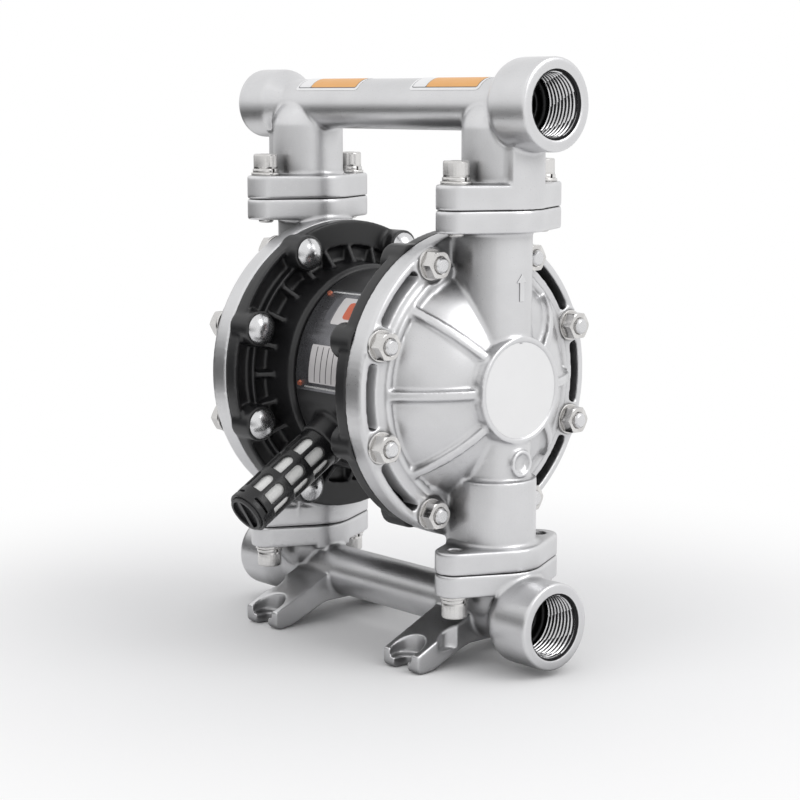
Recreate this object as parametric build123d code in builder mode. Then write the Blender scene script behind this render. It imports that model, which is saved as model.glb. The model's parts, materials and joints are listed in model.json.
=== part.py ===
from build123d import *
import os
from math import cos, radians, sin, sqrt, tan

# Air operated double diaphragm pump with one inch ports.
# X runs along both chambers towards the threaded ports, -Y is the front with
# the muffler, +Y is the rear with the air valve, and the feet stand on Z = 0.
# All sizes are in millimetres.

# Chamber size, places of the columns and heights from the feet upwards
rim_r = 79.0
column_x = 75.3
inlet_z = 25.5
inlet_joint_z = inlet_z + 25.5
chamber_z = inlet_joint_z + 12.0 + rim_r
outlet_joint_z = chamber_z + rim_r + 11.0
outlet_z = outlet_joint_z + 51.0

# Radii that follow the chamber size
clamp_circle_r = rim_r - 7.8
rim_slot_r = rim_r - 7.0
ledge_r = rim_r - 14.6
bead_outer_r = rim_r - 13.5
bead_inner_r = bead_outer_r - 8.0
cavity_r = bead_inner_r - 5.5
dome_base_r = cavity_r + 7.8
air_rim_r = rim_r - 0.4

# Clearances
running_clearance = 0.05
thread_clearance = 0.05
loose_clearance = 0.4
seat_clearance = 0.3

# Manifold pipes, ports and blind ends
pipe_r = 13.2
pipe_bore_r = 10.2
port_thread_r = 16.6
port_thread_length = 24.0
port_chamfer = 0.3
outlet_boss_r = 22.9
outlet_port_x = 114.0
outlet_blind_r = 18.7
outlet_blind_x = -115.0
inlet_boss_r = 22.3
inlet_port_x = 117.0
inlet_blind_r = 19.8
inlet_blind_x = -117.0
boss_length = 24.5
blind_length = 22.0
shoulder_length = 10.0
boss_shoulder_round = 8.0
pipe_shoulder_round = 4.0
blind_end_round = 2.5
port_edge_round = 1.0

# Necks between the pipes and the bolted flanges
neck_r = 19.2
neck_dome_start = 11.0
neck_dome_top = 5.5
neck_rib_half_width = 11.3
neck_rib_overlap = 1.0

# Two-bolt oval flanges
flange_mid_r = 23.5
flange_end_r = 10.0
flange_bolt_y = 29.8
outlet_manifold_flange = 12.5
outlet_cap_flange = 11.3
inlet_manifold_flange = 11.5
inlet_cap_flange = 11.5
flange_edge_round = 1.0

# Ball valves in the flange joints
ball_r = 12.7
ball_lift = 6.5
cage_bore_r = 16.5
guide_fin_width = 3.0
stop_fin_height = 3.0
stop_opening_r = 6.0
cage_height = 36.0
column_bore_r = 12.5
seat_r = 17.9
seat_bore_r = 10.5
seat_height = 5.5
seat_seal_height = 1.5
seat_seal_bore_r = 14.8
ball_above_seat = 4.5

# Feet, cast in one piece with the inlet manifold
foot_x = 57.2
foot_width = 26.3
foot_end_y = 50.0
foot_end_height = 9.5
foot_top_slope = 0.447
foot_pad_length = 10.0
foot_arch_start = 15.5
foot_arch_height = 10.1
foot_arch_round = 20.0
foot_toe_round = 3.0
foot_slot_y = 45.2
foot_slot_width = 10.0
foot_pocket_r = 9.2
foot_pocket_floor = 5.5
foot_slot_x = 56.9

# Fluid caps
joint_x = 48.6
rim_face_x = 60.5
rim_chamfer = 1.2
bolt_pad_x = 60.6
bolt_pad_r = 9.6
spot_face_r = 8.5
spot_face_depth = 0.5
ledge_x = 62.8
ledge_width = 4.0
ledge_edge = 0.4
ledge_loop_r = 13.2
dome_base_x = 60.8
dome_top_x = 85.0
dome_bulge = 3.2
hub_r = 27.0
hub_face_x = 92.0
hub_recess_r = 24.4
hub_recess_depth = 1.6
hub_disc_thickness = 0.8
hub_disc_notch = 2.0
dome_wall = 4.5
cavity_end_r = 22.5
cavity_end_x = 77.5
rib_width = 4.4
rib_height = 3.0
upper_column_r = 18.3
lower_column_r = 21.4
lower_column_top_z = inlet_joint_z + 45.0
column_back_x = rim_face_x - 1.0
column_front_x = 91.3
rim_slot_width = 5.2
slot_half_angle = 11.2
test_boss_r = 7.0
test_boss_z = chamber_z - 37.0
test_boss_height = 2.0
test_recess_r = 5.0

# Clamp bolts round each chamber, angles from the vertical
clamp_angle_first = 28.0
clamp_angle_second = 69.3
clamp_bolt_r = 4.0
clamp_head_r = 8.0
clamp_head_height = 4.5
clamp_bolt_end_x = 70.8
clamp_bolt_chamfer = 1.0
clamp_washer_r = 8.0
clamp_washer_height = 1.6
nut_across_flats = 13.0
nut_height = 6.5
nut_chamfer = 0.9
nut_mouth = 0.6

# Moulded air caps
air_rim_x = 40.5
air_lobe_r = 9.3
air_boss_x = 33.3
air_cup_inner_r = cavity_r
air_cup_r = air_cup_inner_r + 4.0
air_floor_x = 22.0
air_floor_thickness = 5.0
air_web_x = 43.6
air_flare = 3.0
air_ring_inner_r = rim_r - 14.0
air_fin_count = 24
air_fin_width = 2.6
air_fin_inner_x = 35.0
air_fin_overlap = 1.0
rim_pocket_r = rim_r - 7.4
rim_pocket_width = 9.2
rim_pocket_floor_x = 45.0
pocket_half_angle = 11.5
cup_round = 2.0

# Diaphragms, plates and rod
rod_r = 8.0
rod_stud_r = 5.0
rod_stud_end_x = 56.0
diaphragm_thickness = 3.0
diaphragm_hole_r = 5.0
bead_depth = 2.0
fold_inner_r = 34.0
fold_outer_r = bead_inner_r - 1.0
fold_depth = 4.5
plate_r = 32.0
air_plate_thickness = 4.5
fluid_plate_thickness = 10.0
plate_edge = 2.0

# Centre body
drum_r = 54.0
drum_clearance = 1.0
tapped_extra = 1.0
gasket_thickness = 0.8
rod_bush_wall = 2.5
rod_bush_length = 19.0
rod_seal_length = 4.0
pilot_offset = 24.0
pilot_r = 4.0
pilot_half_length = 31.5
pilot_bush_wall = 2.0
pilot_bush_length = 13.0
cap_screw_circle_r = 41.0
cap_screw_r = 3.0
cap_screw_head_r = 5.0
cap_screw_head_height = 3.5
cap_screw_depth = 12.0
cap_screw_count = 4

# Air passages between the valve, the drum and both air chambers
air_passage_r = 3.0
chamber_port_x = 12.0
chamber_air_y = 36.0
exhaust_port_z = chamber_z - 15.0
exhaust_port_r = 3.5
exhaust_slot_depth = 5.0

# Exhaust boss and muffler, on a line through the chamber axis
muffler_angle = -121.4
muffler_root = 65.0
muffler_length = 56.3
muffler_r = 11.5
muffler_wall = 1.8
muffler_nipple_r = 6.55
muffler_nipple_length = 9.0
muffler_collar = 3.5
muffler_end_length = 7.5
muffler_window_rows = 3
muffler_window_count = 8
muffler_window_length = 11.2
muffler_window_width = 6.2
muffler_window_pitch = 15.0
muffler_window_turn = 20.0
muffler_window_start = 5.0
snap_slot_width = 1.0
snap_slot_length = 10.0
snap_slot_inset = 5.5
end_cap_rim = 1.5
muffler_element_wall = 2.6
exhaust_boss_r = 12.5
exhaust_boss_root = 43.0
exhaust_bore_r = 6.0
end_cap_bar_width = 2.4
end_cap_recess = 1.6

# Nameplate round the front of the drum, angles from the vertical
nameplate_start = -35.0
nameplate_end = -96.0
nameplate_half_width = 19.0
nameplate_thickness = 0.8
rivet_r = 1.6
rivet_height = 1.0
rivet_taper = 25.0
rivet_inset = 3.0
rivet_angle_inset = 3.5

# Air valve on the rear of the drum
valve_pad_y = 56.0
valve_pad_half_height = 25.0
valve_gasket_thickness = 1.0
valve_half_length = 27.0
valve_half_height = 24.0
valve_depth = 25.0
valve_edge_round = 3.0
spool_offset_y = 12.5
sleeve_r = 9.5
sleeve_wall = 2.5
sleeve_port_r = 2.0
spool_length = 38.0
spool_end_gap = 1.0
spool_waist_r = 4.5
spool_land = 6.0
valve_cap_r = 11.5
valve_cap_thickness = 5.0
valve_cap_chamfer = 1.0
valve_cap_flats = 9.0
valve_spigot = 1.5
valve_screw_x = 16.0
valve_screw_z = 18.5
valve_screw_r = 2.5
valve_screw_head_r = 4.25
valve_screw_head_height = 5.0
valve_screw_depth = 12.0
air_inlet_boss_r = 11.0
air_inlet_boss_height = 10.0
air_inlet_thread_r = 6.58
air_inlet_length = 12.0

# Socket head screws of the flanges
flange_screw_r = 4.0
flange_hole_r = 4.5
flange_head_r = 6.5
flange_head_height = 8.0
flange_socket_flats = 6.0
flange_washer_r = 7.8
flange_washer_height = 1.6
lock_washer_r = 7.0
lock_washer_height = 2.0
lock_washer_gap = 1.2
outlet_screw_length = 25.5
inlet_screw_length = 25.0
head_chamfer_share = 0.08
tip_chamfer_share = 0.2

# Values that follow from the sizes above
chamber_axis = Axis((0, 0, chamber_z), (1, 0, 0))
column_places = (column_x, -column_x)
clamp_angles = [
    side * angle
    for side in (1, -1)
    for angle in (
        clamp_angle_first,
        clamp_angle_second,
        180 - clamp_angle_second,
        180 - clamp_angle_first,
    )
]
clamp_points = [
    (clamp_circle_r * sin(radians(a)), clamp_circle_r * cos(radians(a))) for a in clamp_angles
]
column_side_points = [p for p in clamp_points if abs(p[0]) < clamp_circle_r / 2]
slot_spans = [
    side * middle
    for side in (1, -1)
    for middle in (
        (clamp_angle_first + clamp_angle_second) / 2,
        90,
        180 - (clamp_angle_first + clamp_angle_second) / 2,
    )
]
rim_slot_arcs = [
    CenterArc((0, 0), rim_slot_r, 90 - middle - slot_half_angle, 2 * slot_half_angle)
    for middle in slot_spans
]
rim_pocket_arcs = [
    CenterArc((0, 0), rim_pocket_r, 90 - middle - pocket_half_angle, 2 * pocket_half_angle)
    for middle in slot_spans
]
floor_inner_x = air_floor_x + air_floor_thickness
drum_half = air_floor_x - gasket_thickness
valve_back_y = valve_pad_y + valve_gasket_thickness
valve_front_y = valve_back_y + valve_depth
spool_y = valve_back_y + spool_offset_y
air_inlet_y = valve_front_y + air_inlet_boss_height
flange_screw_points = [(x, y) for x in column_places for y in (flange_bolt_y, -flange_bolt_y)]

os.makedirs("parts", exist_ok=True)


def chamber_plane(x):
    """Plane across the chamber axis at x, local x towards +Y and local y up."""
    return Plane((x, 0, chamber_z), x_dir=(0, 1, 0), z_dir=(1, 0, 0))


def radial_plane(angle):
    """Plane through the chamber axis, turned from the vertical towards +Y."""
    turn = radians(angle)
    return Plane((0, 0, chamber_z), x_dir=(1, 0, 0), z_dir=(0, -cos(turn), sin(turn)))


def outward_plane(angle, distance):
    """Plane that faces straight out from the chamber axis at a distance."""
    turn = radians(angle)
    out = (0, sin(turn), cos(turn))
    centre = (0, distance * out[1], chamber_z + distance * out[2])
    return Plane(centre, x_dir=(1, 0, 0), z_dir=out)


def rear_plane(y):
    """Plane that faces +Y at the height of the chamber axis, local y up."""
    return Plane((0, y, chamber_z), x_dir=(-1, 0, 0), z_dir=(0, 1, 0))


def dome_rise(base_r, height, share):
    """Height of a spherical dome over its base, at a share of the base radius."""
    sphere_r = (base_r**2 + height**2) / (2 * height)
    return height - sphere_r + sqrt(sphere_r**2 - (share * base_r) ** 2)


def save(piece, name):
    """Label one finished piece and write it."""
    piece.part.label = name
    export_step(piece.part, f"parts/{name}.step")


def save_pair(piece, name):
    """Write a right-hand piece and its mirror image on the left."""
    save(piece, f"{name}_right")
    with BuildPart() as left_piece:
        mirror(piece.part, about=Plane.YZ)
    save(left_piece, f"{name}_left")


def copies(piece, plane, points):
    """Copies of one small piece, standing on the plane at each point."""
    with BuildPart() as group:
        with Locations(*[plane.location * Location((x, y, 0)) for x, y in points]):
            add(piece.part)
    return group


def oval_flange(x, z, thickness):
    """Two-bolt flange centred on x, from height z upwards."""
    with BuildPart() as flange:
        with BuildSketch(Plane((x, 0, z))):
            Circle(flange_mid_r)
            with Locations((0, flange_bolt_y), (0, -flange_bolt_y)):
                Circle(flange_end_r)
            make_hull()
        extrude(amount=thickness)
        fillet(flange.faces().sort_by(Axis.Z)[0].edges(), flange_edge_round)
        fillet(flange.faces().sort_by(Axis.Z)[-1].edges(), flange_edge_round)
    return flange


def socket_screw(shank_r, length, head_r, head_height, socket_flats):
    """Socket head screw with its head below the origin and its shank along +Z."""
    with BuildPart() as screw:
        with BuildSketch():
            Circle(shank_r)
        extrude(amount=length)
        with BuildSketch():
            Circle(head_r)
        extrude(amount=-head_height)
        chamfer(screw.faces().sort_by(Axis.Z)[0].edges(), head_r * head_chamfer_share)
        chamfer(screw.faces().sort_by(Axis.Z)[-1].edges(), shank_r * tip_chamfer_share)
        with BuildSketch(Plane.XY.offset(-head_height)):
            RegularPolygon(socket_flats / 2, 6, major_radius=False)
        extrude(amount=head_height / 2, mode=Mode.SUBTRACT)
    return screw


def ring(outer_r, inner_r, height, gap=0.0):
    """Washer, seal or bush along +Z, split by a gap where one is given."""
    with BuildPart() as washer:
        with BuildSketch():
            Circle(outer_r)
            Circle(inner_r, mode=Mode.SUBTRACT)
            if gap:
                with Locations((outer_r, 0)):
                    Rectangle(2 * outer_r, gap, mode=Mode.SUBTRACT)
        extrude(amount=height)
    return washer


def manifold_casting(axis_z, joint_z, boss_r, port_x, blind_r, blind_x, rib_side):
    """Pipe with a port boss, a blind end and two necks, ribbed outwards (1) or inwards (-1)."""
    toward_pipe = 1 if axis_z > joint_z else -1
    pipe_axis = Axis((0, 0, axis_z), (1, 0, 0))
    boss_back_x = port_x - boss_length
    blind_back_x = blind_x + blind_length
    with BuildPart() as casting:
        # Turned outline of the pipe with its two thicker ends
        with BuildSketch(Plane((0, 0, axis_z), x_dir=(1, 0, 0), z_dir=(0, -1, 0))):
            with BuildLine():
                outline = FilletPolyline(
                    (blind_x, 0),
                    (blind_x, blind_r),
                    (blind_back_x, blind_r),
                    (blind_back_x + shoulder_length, pipe_r),
                    (boss_back_x - shoulder_length, pipe_r),
                    (boss_back_x, boss_r),
                    (port_x, boss_r),
                    (port_x, 0),
                    radius=[
                        blind_end_round,
                        boss_shoulder_round,
                        pipe_shoulder_round,
                        pipe_shoulder_round,
                        boss_shoulder_round,
                        port_edge_round,
                    ],
                )
                Line(outline @ 1, outline @ 0)
            make_face()
        revolve(axis=pipe_axis)
        for x in column_places:
            # Round neck with a low dome that dies into the pipe
            dome_z = axis_z - toward_pipe * neck_dome_start
            top_z = axis_z + toward_pipe * neck_dome_top
            dome_height = neck_dome_start + neck_dome_top
            with BuildSketch(Plane((x, 0, 0), x_dir=(1, 0, 0), z_dir=(0, -1, 0))):
                with BuildLine():
                    Polyline((0, top_z), (0, joint_z), (neck_r, joint_z), (neck_r, dome_z))
                    ThreePointArc(
                        (neck_r, dome_z),
                        (neck_r / 2, dome_z + toward_pipe * dome_rise(neck_r, dome_height, 0.5)),
                        (0, top_z),
                    )
                make_face()
            revolve(axis=Axis((x, 0, 0), (0, 0, 1)))
            # Rib on one side that stays flush with the flange's edge
            rib_middle = rib_side * flange_mid_r / 2 * (1 if x > 0 else -1)
            with BuildSketch(Plane((x, 0, joint_z))):
                Circle(flange_mid_r)
                with Locations((0, flange_bolt_y), (0, -flange_bolt_y)):
                    Circle(flange_end_r)
                make_hull()
                with Locations((rib_middle, 0)):
                    Rectangle(flange_mid_r, 2 * neck_rib_half_width, mode=Mode.INTERSECT)
            extrude(amount=axis_z - toward_pipe * (pipe_r - neck_rib_overlap) - joint_z)
    return casting


def manifold_bores(column_bore, axis_z, joint_z, port_x):
    """Port, pipe bore and the two ball cages, for cutting from a manifold."""
    with BuildPart() as bores:
        with BuildSketch(Plane.YZ.offset(port_x - port_thread_length)):
            with Locations((0, axis_z)):
                Circle(port_thread_r)
        extrude(amount=port_thread_length)
        with BuildSketch(Plane.YZ.offset(-column_x)):
            with Locations((0, axis_z)):
                Circle(pipe_bore_r)
        extrude(amount=port_x - port_thread_length + column_x)
        for x in column_places:
            with BuildSketch(Plane((x, 0, joint_z))):
                Circle(column_bore)
            extrude(amount=axis_z - joint_z)
    return bores


def ball_cage(x, joint_z):
    """Room for one ball above a flange joint, with four guide fins that stop its lift."""
    ball_z = joint_z - seat_seal_height + ball_above_seat
    stop_z = ball_z + ball_r + ball_lift + loose_clearance
    with BuildPart() as cage:
        with BuildSketch(Plane((x, 0, joint_z))):
            Circle(cage_bore_r)
        extrude(amount=cage_height - stop_fin_height)
        with BuildSketch(Plane((x, 0, joint_z))) as fins:
            Rectangle(2 * cage_bore_r, guide_fin_width)
            Rectangle(guide_fin_width, 2 * cage_bore_r)
            Circle(ball_r + loose_clearance, mode=Mode.SUBTRACT)
        extrude(fins.sketch, amount=cage_height, mode=Mode.SUBTRACT)
        with BuildSketch(Plane((x, 0, stop_z))) as stops:
            Rectangle(2 * cage_bore_r, guide_fin_width)
            Rectangle(guide_fin_width, 2 * cage_bore_r)
            Circle(stop_opening_r, mode=Mode.SUBTRACT)
        extrude(stops.sketch, amount=cage_height, mode=Mode.SUBTRACT)
    return cage


# Outlet manifold, bolted on top of both fluid caps
outlet_casting = manifold_casting(
    outlet_z, outlet_joint_z, outlet_boss_r, outlet_port_x, outlet_blind_r, outlet_blind_x, 1
)
with BuildPart() as outlet_manifold:
    add(outlet_casting.part)
    for x in column_places:
        add(oval_flange(x, outlet_joint_z, outlet_manifold_flange).part)
    add(
        manifold_bores(column_bore_r, outlet_z, outlet_joint_z, outlet_port_x).part,
        mode=Mode.SUBTRACT,
    )
    for x in column_places:
        add(ball_cage(x, outlet_joint_z).part, mode=Mode.SUBTRACT)
    with BuildSketch(Plane.XY.offset(outlet_joint_z)):
        with Locations(*flange_screw_points):
            Circle(flange_hole_r)
    extrude(amount=outlet_manifold_flange, mode=Mode.SUBTRACT)
    chamfer(
        outlet_manifold.edges()
        .filter_by(GeomType.CIRCLE)
        .filter_by(lambda e: abs(e.radius - port_thread_r) < 0.01)
        .sort_by(Axis.X)[-1],
        port_chamfer,
    )
save(outlet_manifold, "outlet_manifold")


# Inlet manifold with its four feet, bolted under both fluid caps
inlet_casting = manifold_casting(
    inlet_z, inlet_joint_z, inlet_boss_r, inlet_port_x, inlet_blind_r, inlet_blind_x, -1
)
foot_body_height = foot_end_height + foot_top_slope * foot_end_y
with BuildPart() as foot_bar:
    # Side view of one pair of feet: sloping tops over an arched sole
    with BuildSketch(Plane.YZ.offset(foot_x - foot_width / 2)):
        with BuildLine():
            sole = FilletPolyline(
                (-foot_end_y, foot_end_height),
                (-foot_end_y, 0),
                (-foot_end_y + foot_pad_length, 0),
                (-foot_arch_start, foot_arch_height),
                (foot_arch_start, foot_arch_height),
                (foot_end_y - foot_pad_length, 0),
                (foot_end_y, 0),
                (foot_end_y, foot_end_height),
                radius=[
                    foot_toe_round,
                    foot_arch_round,
                    foot_arch_round,
                    foot_arch_round,
                    foot_arch_round,
                    foot_toe_round,
                ],
            )
            Polyline(sole @ 1, (0, foot_body_height), sole @ 0)
        make_face()
    extrude(amount=foot_width)
    # Open slots with a round pocket for the bolt head
    for side in (1, -1):
        with BuildSketch(Plane((foot_slot_x, side * foot_slot_y, 0))):
            Circle(foot_slot_width / 2)
            with Locations((0, side * foot_slot_width)):
                Rectangle(foot_slot_width, 2 * foot_slot_width)
        extrude(amount=foot_body_height, mode=Mode.SUBTRACT)
        with BuildSketch(Plane((foot_slot_x, side * foot_slot_y, foot_pocket_floor))):
            Circle(foot_pocket_r)
        extrude(amount=foot_body_height, mode=Mode.SUBTRACT)
with BuildPart() as inlet_manifold:
    add(inlet_casting.part)
    for x in column_places:
        add(oval_flange(x, inlet_joint_z - inlet_manifold_flange, inlet_manifold_flange).part)
    add(foot_bar.part)
    mirror(foot_bar.part, about=Plane.YZ)
    # Room for the screw heads and washers that sit under the flanges
    with BuildSketch(Plane.XY.offset(inlet_joint_z - inlet_manifold_flange)):
        with Locations(*flange_screw_points):
            Circle(flange_washer_r + loose_clearance)
    extrude(amount=-(inlet_joint_z - inlet_manifold_flange - foot_end_height), mode=Mode.SUBTRACT)
    add(
        manifold_bores(column_bore_r, inlet_z, inlet_joint_z, inlet_port_x).part,
        mode=Mode.SUBTRACT,
    )
    # Counterbore for each seat and its seal
    with BuildSketch(Plane.XY.offset(inlet_joint_z)):
        with Locations(*[(x, 0) for x in column_places]):
            Circle(seat_r + thread_clearance)
    extrude(amount=-(seat_height + seat_seal_height), mode=Mode.SUBTRACT)
    with BuildSketch(Plane.XY.offset(inlet_joint_z)):
        with Locations(*flange_screw_points):
            Circle(flange_hole_r)
    extrude(amount=-inlet_manifold_flange, mode=Mode.SUBTRACT)
    chamfer(
        inlet_manifold.edges()
        .filter_by(GeomType.CIRCLE)
        .filter_by(lambda e: abs(e.radius - port_thread_r) < 0.01)
        .sort_by(Axis.X)[-1],
        port_chamfer,
    )
save(inlet_manifold, "inlet_manifold")


# Fluid cap: clamping rim, ribbed dome, hub and the vertical column in one casting
dome_middle = (
    (dome_base_x + dome_top_x) / 2 + dome_bulge,
    (dome_base_r + hub_r) / 2 + dome_bulge / 2,
)
rib_root = (ledge_x + ledge_edge, ledge_r - rib_height / 2)
with BuildPart() as fluid_cap:
    with BuildSketch(radial_plane(0)):
        with BuildLine():
            Polyline(
                (hub_face_x, 0),
                (joint_x, 0),
                (joint_x, rim_r),
                (rim_face_x - rim_chamfer, rim_r),
                (rim_face_x, rim_r - rim_chamfer),
                (rim_face_x, ledge_r),
                (ledge_x, ledge_r - ledge_edge),
                (ledge_x, ledge_r - ledge_width),
                (dome_base_x, dome_base_r),
            )
            ThreePointArc((dome_base_x, dome_base_r), dome_middle, (dome_top_x, hub_r))
            Polyline((dome_top_x, hub_r), (hub_face_x, hub_r), (hub_face_x, 0))
        make_face()
    revolve(axis=chamber_axis)
    # Raised ribs down the dome on both sides of the column
    for angle in slot_spans:
        with BuildSketch(radial_plane(angle)) as rib:
            with BuildLine():
                Line((joint_x, dome_base_r - rib_height), rib_root)
                ThreePointArc(
                    rib_root,
                    (dome_middle[0] + rib_height, dome_middle[1] + rib_height / 2),
                    (dome_top_x + rib_height, hub_r + rib_height / 2),
                )
                Polyline(
                    (dome_top_x + rib_height, hub_r + rib_height / 2),
                    (dome_top_x + rib_height, hub_r - rib_height),
                    (joint_x, dome_base_r - rib_height),
                )
            make_face()
        extrude(rib.sketch, amount=rib_width / 2, both=True)
    # The ledge steps inwards round the bolts beside the column
    with BuildSketch(chamber_plane(joint_x)):
        with Locations(*column_side_points):
            Circle(ledge_loop_r)
        Circle(ledge_r, mode=Mode.INTERSECT)
    extrude(amount=ledge_x - joint_x)
    with BuildSketch(chamber_plane(rim_face_x)):
        with Locations(*column_side_points):
            Circle(ledge_loop_r - ledge_width + ledge_edge)
    extrude(amount=rib_height, mode=Mode.SUBTRACT)
    # Pads under the clamp nuts, spot-faced for the washers
    with BuildSketch(chamber_plane(rim_face_x - rim_chamfer)):
        with Locations(*clamp_points):
            Circle(bolt_pad_r)
        Circle(rim_r - rim_chamfer / 2, mode=Mode.INTERSECT)
    extrude(amount=bolt_pad_x + spot_face_depth - rim_face_x + rim_chamfer)
    with BuildSketch(chamber_plane(bolt_pad_x)):
        with Locations(*clamp_points):
            Circle(spot_face_r)
    extrude(amount=rib_height, mode=Mode.SUBTRACT)
    # Flat-sided vertical column, thicker below where it holds the inlet ball
    for start_z, end_z, column_r in (
        (chamber_z, outlet_joint_z - outlet_cap_flange / 2, upper_column_r),
        (lower_column_top_z, chamber_z, upper_column_r),
        (inlet_joint_z + inlet_cap_flange / 2, lower_column_top_z, lower_column_r),
    ):
        middle_x = column_front_x - upper_column_r
        with BuildSketch(Plane((middle_x, 0, start_z))):
            Circle(column_r)
            with Locations(((column_back_x - middle_x) / 2, 0)):
                Rectangle(middle_x - column_back_x, 2 * column_r)
        extrude(amount=end_z - start_z)
    add(oval_flange(column_x, outlet_joint_z - outlet_cap_flange, outlet_cap_flange).part)
    add(oval_flange(column_x, inlet_joint_z, inlet_cap_flange).part)
    # Small round test boss below the hub
    with BuildSketch(Plane((column_x, 0, test_boss_z), x_dir=(0, 1, 0), z_dir=(1, 0, 0))):
        Circle(test_boss_r)
        Circle(test_recess_r, mode=Mode.SUBTRACT)
    extrude(amount=column_front_x + test_boss_height - column_x)
    # Turned chamber, shallow hub recess and bead groove
    with BuildSketch(radial_plane(0)):
        with BuildLine():
            Polyline(
                (joint_x, 0),
                (joint_x, bead_outer_r),
                (joint_x + bead_depth, bead_outer_r),
                (joint_x + bead_depth, bead_inner_r),
                (joint_x + bead_depth, cavity_r),
                (dome_base_x - dome_wall, cavity_r),
            )
            ThreePointArc(
                (dome_base_x - dome_wall, cavity_r),
                (dome_middle[0] - dome_wall, dome_middle[1] - dome_wall),
                (cavity_end_x, cavity_end_r),
            )
            Polyline((cavity_end_x, cavity_end_r), (cavity_end_x, 0), (joint_x, 0))
        make_face()
    revolve(axis=chamber_axis, mode=Mode.SUBTRACT)
    with BuildSketch(chamber_plane(hub_face_x)):
        Circle(hub_recess_r)
    extrude(amount=upper_column_r, mode=Mode.SUBTRACT)
    with BuildSketch(chamber_plane(hub_face_x)):
        Circle(hub_recess_r)
    extrude(amount=-hub_recess_depth, mode=Mode.SUBTRACT)
    # Passages from the chamber up and down the column
    with BuildSketch(Plane((column_x, 0, chamber_z))):
        Circle(column_bore_r)
    extrude(amount=outlet_joint_z - chamber_z, mode=Mode.SUBTRACT)
    with BuildSketch(Plane((column_x, 0, chamber_z))):
        Circle(column_bore_r)
    extrude(amount=inlet_joint_z + cage_height - stop_fin_height - chamber_z, mode=Mode.SUBTRACT)
    add(ball_cage(column_x, inlet_joint_z).part, mode=Mode.SUBTRACT)
    with BuildSketch(Plane((column_x, 0, outlet_joint_z))):
        Circle(seat_r + thread_clearance)
    extrude(amount=-(seat_height + seat_seal_height), mode=Mode.SUBTRACT)
    # Tapped holes in both flanges
    for z, depth in ((outlet_joint_z, -outlet_cap_flange), (inlet_joint_z, inlet_cap_flange)):
        with BuildSketch(Plane((column_x, 0, z))):
            with Locations((0, flange_bolt_y), (0, -flange_bolt_y)):
                Circle(flange_screw_r + thread_clearance)
        extrude(amount=depth, mode=Mode.SUBTRACT)
    # Clamp bolt holes and the long slots between them
    with BuildSketch(chamber_plane(joint_x)):
        with Locations(*clamp_points):
            Circle(clamp_bolt_r + thread_clearance)
        for arc in rim_slot_arcs:
            SlotArc(arc, rim_slot_width)
    extrude(amount=bolt_pad_x - joint_x, mode=Mode.SUBTRACT)
save_pair(fluid_cap, "fluid_cap")


# Blank disc in the hub recess
with BuildPart() as hub_disc:
    with BuildSketch(chamber_plane(hub_face_x - hub_recess_depth)):
        Circle(hub_recess_r - thread_clearance)
        with Locations((0, hub_recess_r)):
            Rectangle(hub_disc_notch, hub_disc_notch, mode=Mode.SUBTRACT)
    extrude(amount=hub_disc_thickness)
save_pair(hub_disc, "hub_disc")


# Ball seats, their seals and the balls
def ball_seat(joint_z):
    """Seat ring with a spherical mouth that matches the ball."""
    seat_top = joint_z - seat_seal_height
    with BuildPart() as seat:
        with BuildSketch(Plane((column_x, 0, seat_top))):
            Circle(seat_r)
            Circle(seat_bore_r, mode=Mode.SUBTRACT)
        extrude(amount=-seat_height)
        with Locations((column_x, 0, seat_top + ball_above_seat)):
            Sphere(ball_r + seat_clearance, mode=Mode.SUBTRACT)
    return seat


def valve_ball(joint_z):
    """Ball that rests on a seat below the joint."""
    with BuildPart() as ball:
        with Locations((column_x, 0, joint_z - seat_seal_height + ball_above_seat)):
            Sphere(ball_r)
    return ball


for place, joint_z in (("outlet", outlet_joint_z), ("inlet", inlet_joint_z)):
    save_pair(ball_seat(joint_z), f"{place}_seat")
    save_pair(valve_ball(joint_z), f"{place}_ball")

seal = ring(seat_r, seat_seal_bore_r, seat_seal_height)
with BuildPart() as seat_seals:
    with Locations(
        *[(x, 0, z - seat_seal_height) for x in column_places
          for z in (outlet_joint_z, inlet_joint_z)]
    ):
        add(seal.part)
save(seat_seals, "seat_seals")


# Flange screws with a spring washer and a flat washer each
outlet_top_z = outlet_joint_z + outlet_manifold_flange
inlet_under_z = inlet_joint_z - inlet_manifold_flange
down_plane = Plane((0, 0, 0), x_dir=(1, 0, 0), z_dir=(0, 0, -1))
washers_height = flange_washer_height + lock_washer_height
outlet_screw = socket_screw(
    flange_screw_r, outlet_screw_length + washers_height, flange_head_r, flange_head_height,
    flange_socket_flats,
)
inlet_screw = socket_screw(
    flange_screw_r, inlet_screw_length, flange_head_r, flange_head_height, flange_socket_flats
)
save(
    copies(outlet_screw, down_plane.offset(-(outlet_top_z + washers_height)), flange_screw_points),
    "outlet_flange_screws",
)
save(
    copies(inlet_screw, Plane.XY.offset(inlet_under_z - washers_height), flange_screw_points),
    "inlet_flange_screws",
)
flat_washer = ring(flange_washer_r, flange_screw_r + thread_clearance, flange_washer_height)
lock_washer = ring(
    lock_washer_r, flange_screw_r + thread_clearance, lock_washer_height, lock_washer_gap
)
with BuildPart() as flange_flat_washers:
    add(copies(flat_washer, Plane.XY.offset(outlet_top_z), flange_screw_points).part)
    add(
        copies(
            flat_washer, Plane.XY.offset(inlet_under_z - flange_washer_height), flange_screw_points
        ).part
    )
save(flange_flat_washers, "flange_flat_washers")
with BuildPart() as flange_lock_washers:
    add(
        copies(
            lock_washer, Plane.XY.offset(outlet_top_z + flange_washer_height), flange_screw_points
        ).part
    )
    add(
        copies(
            lock_washer, Plane.XY.offset(inlet_under_z - washers_height), flange_screw_points
        ).part
    )
save(flange_lock_washers, "flange_lock_washers")


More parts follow.
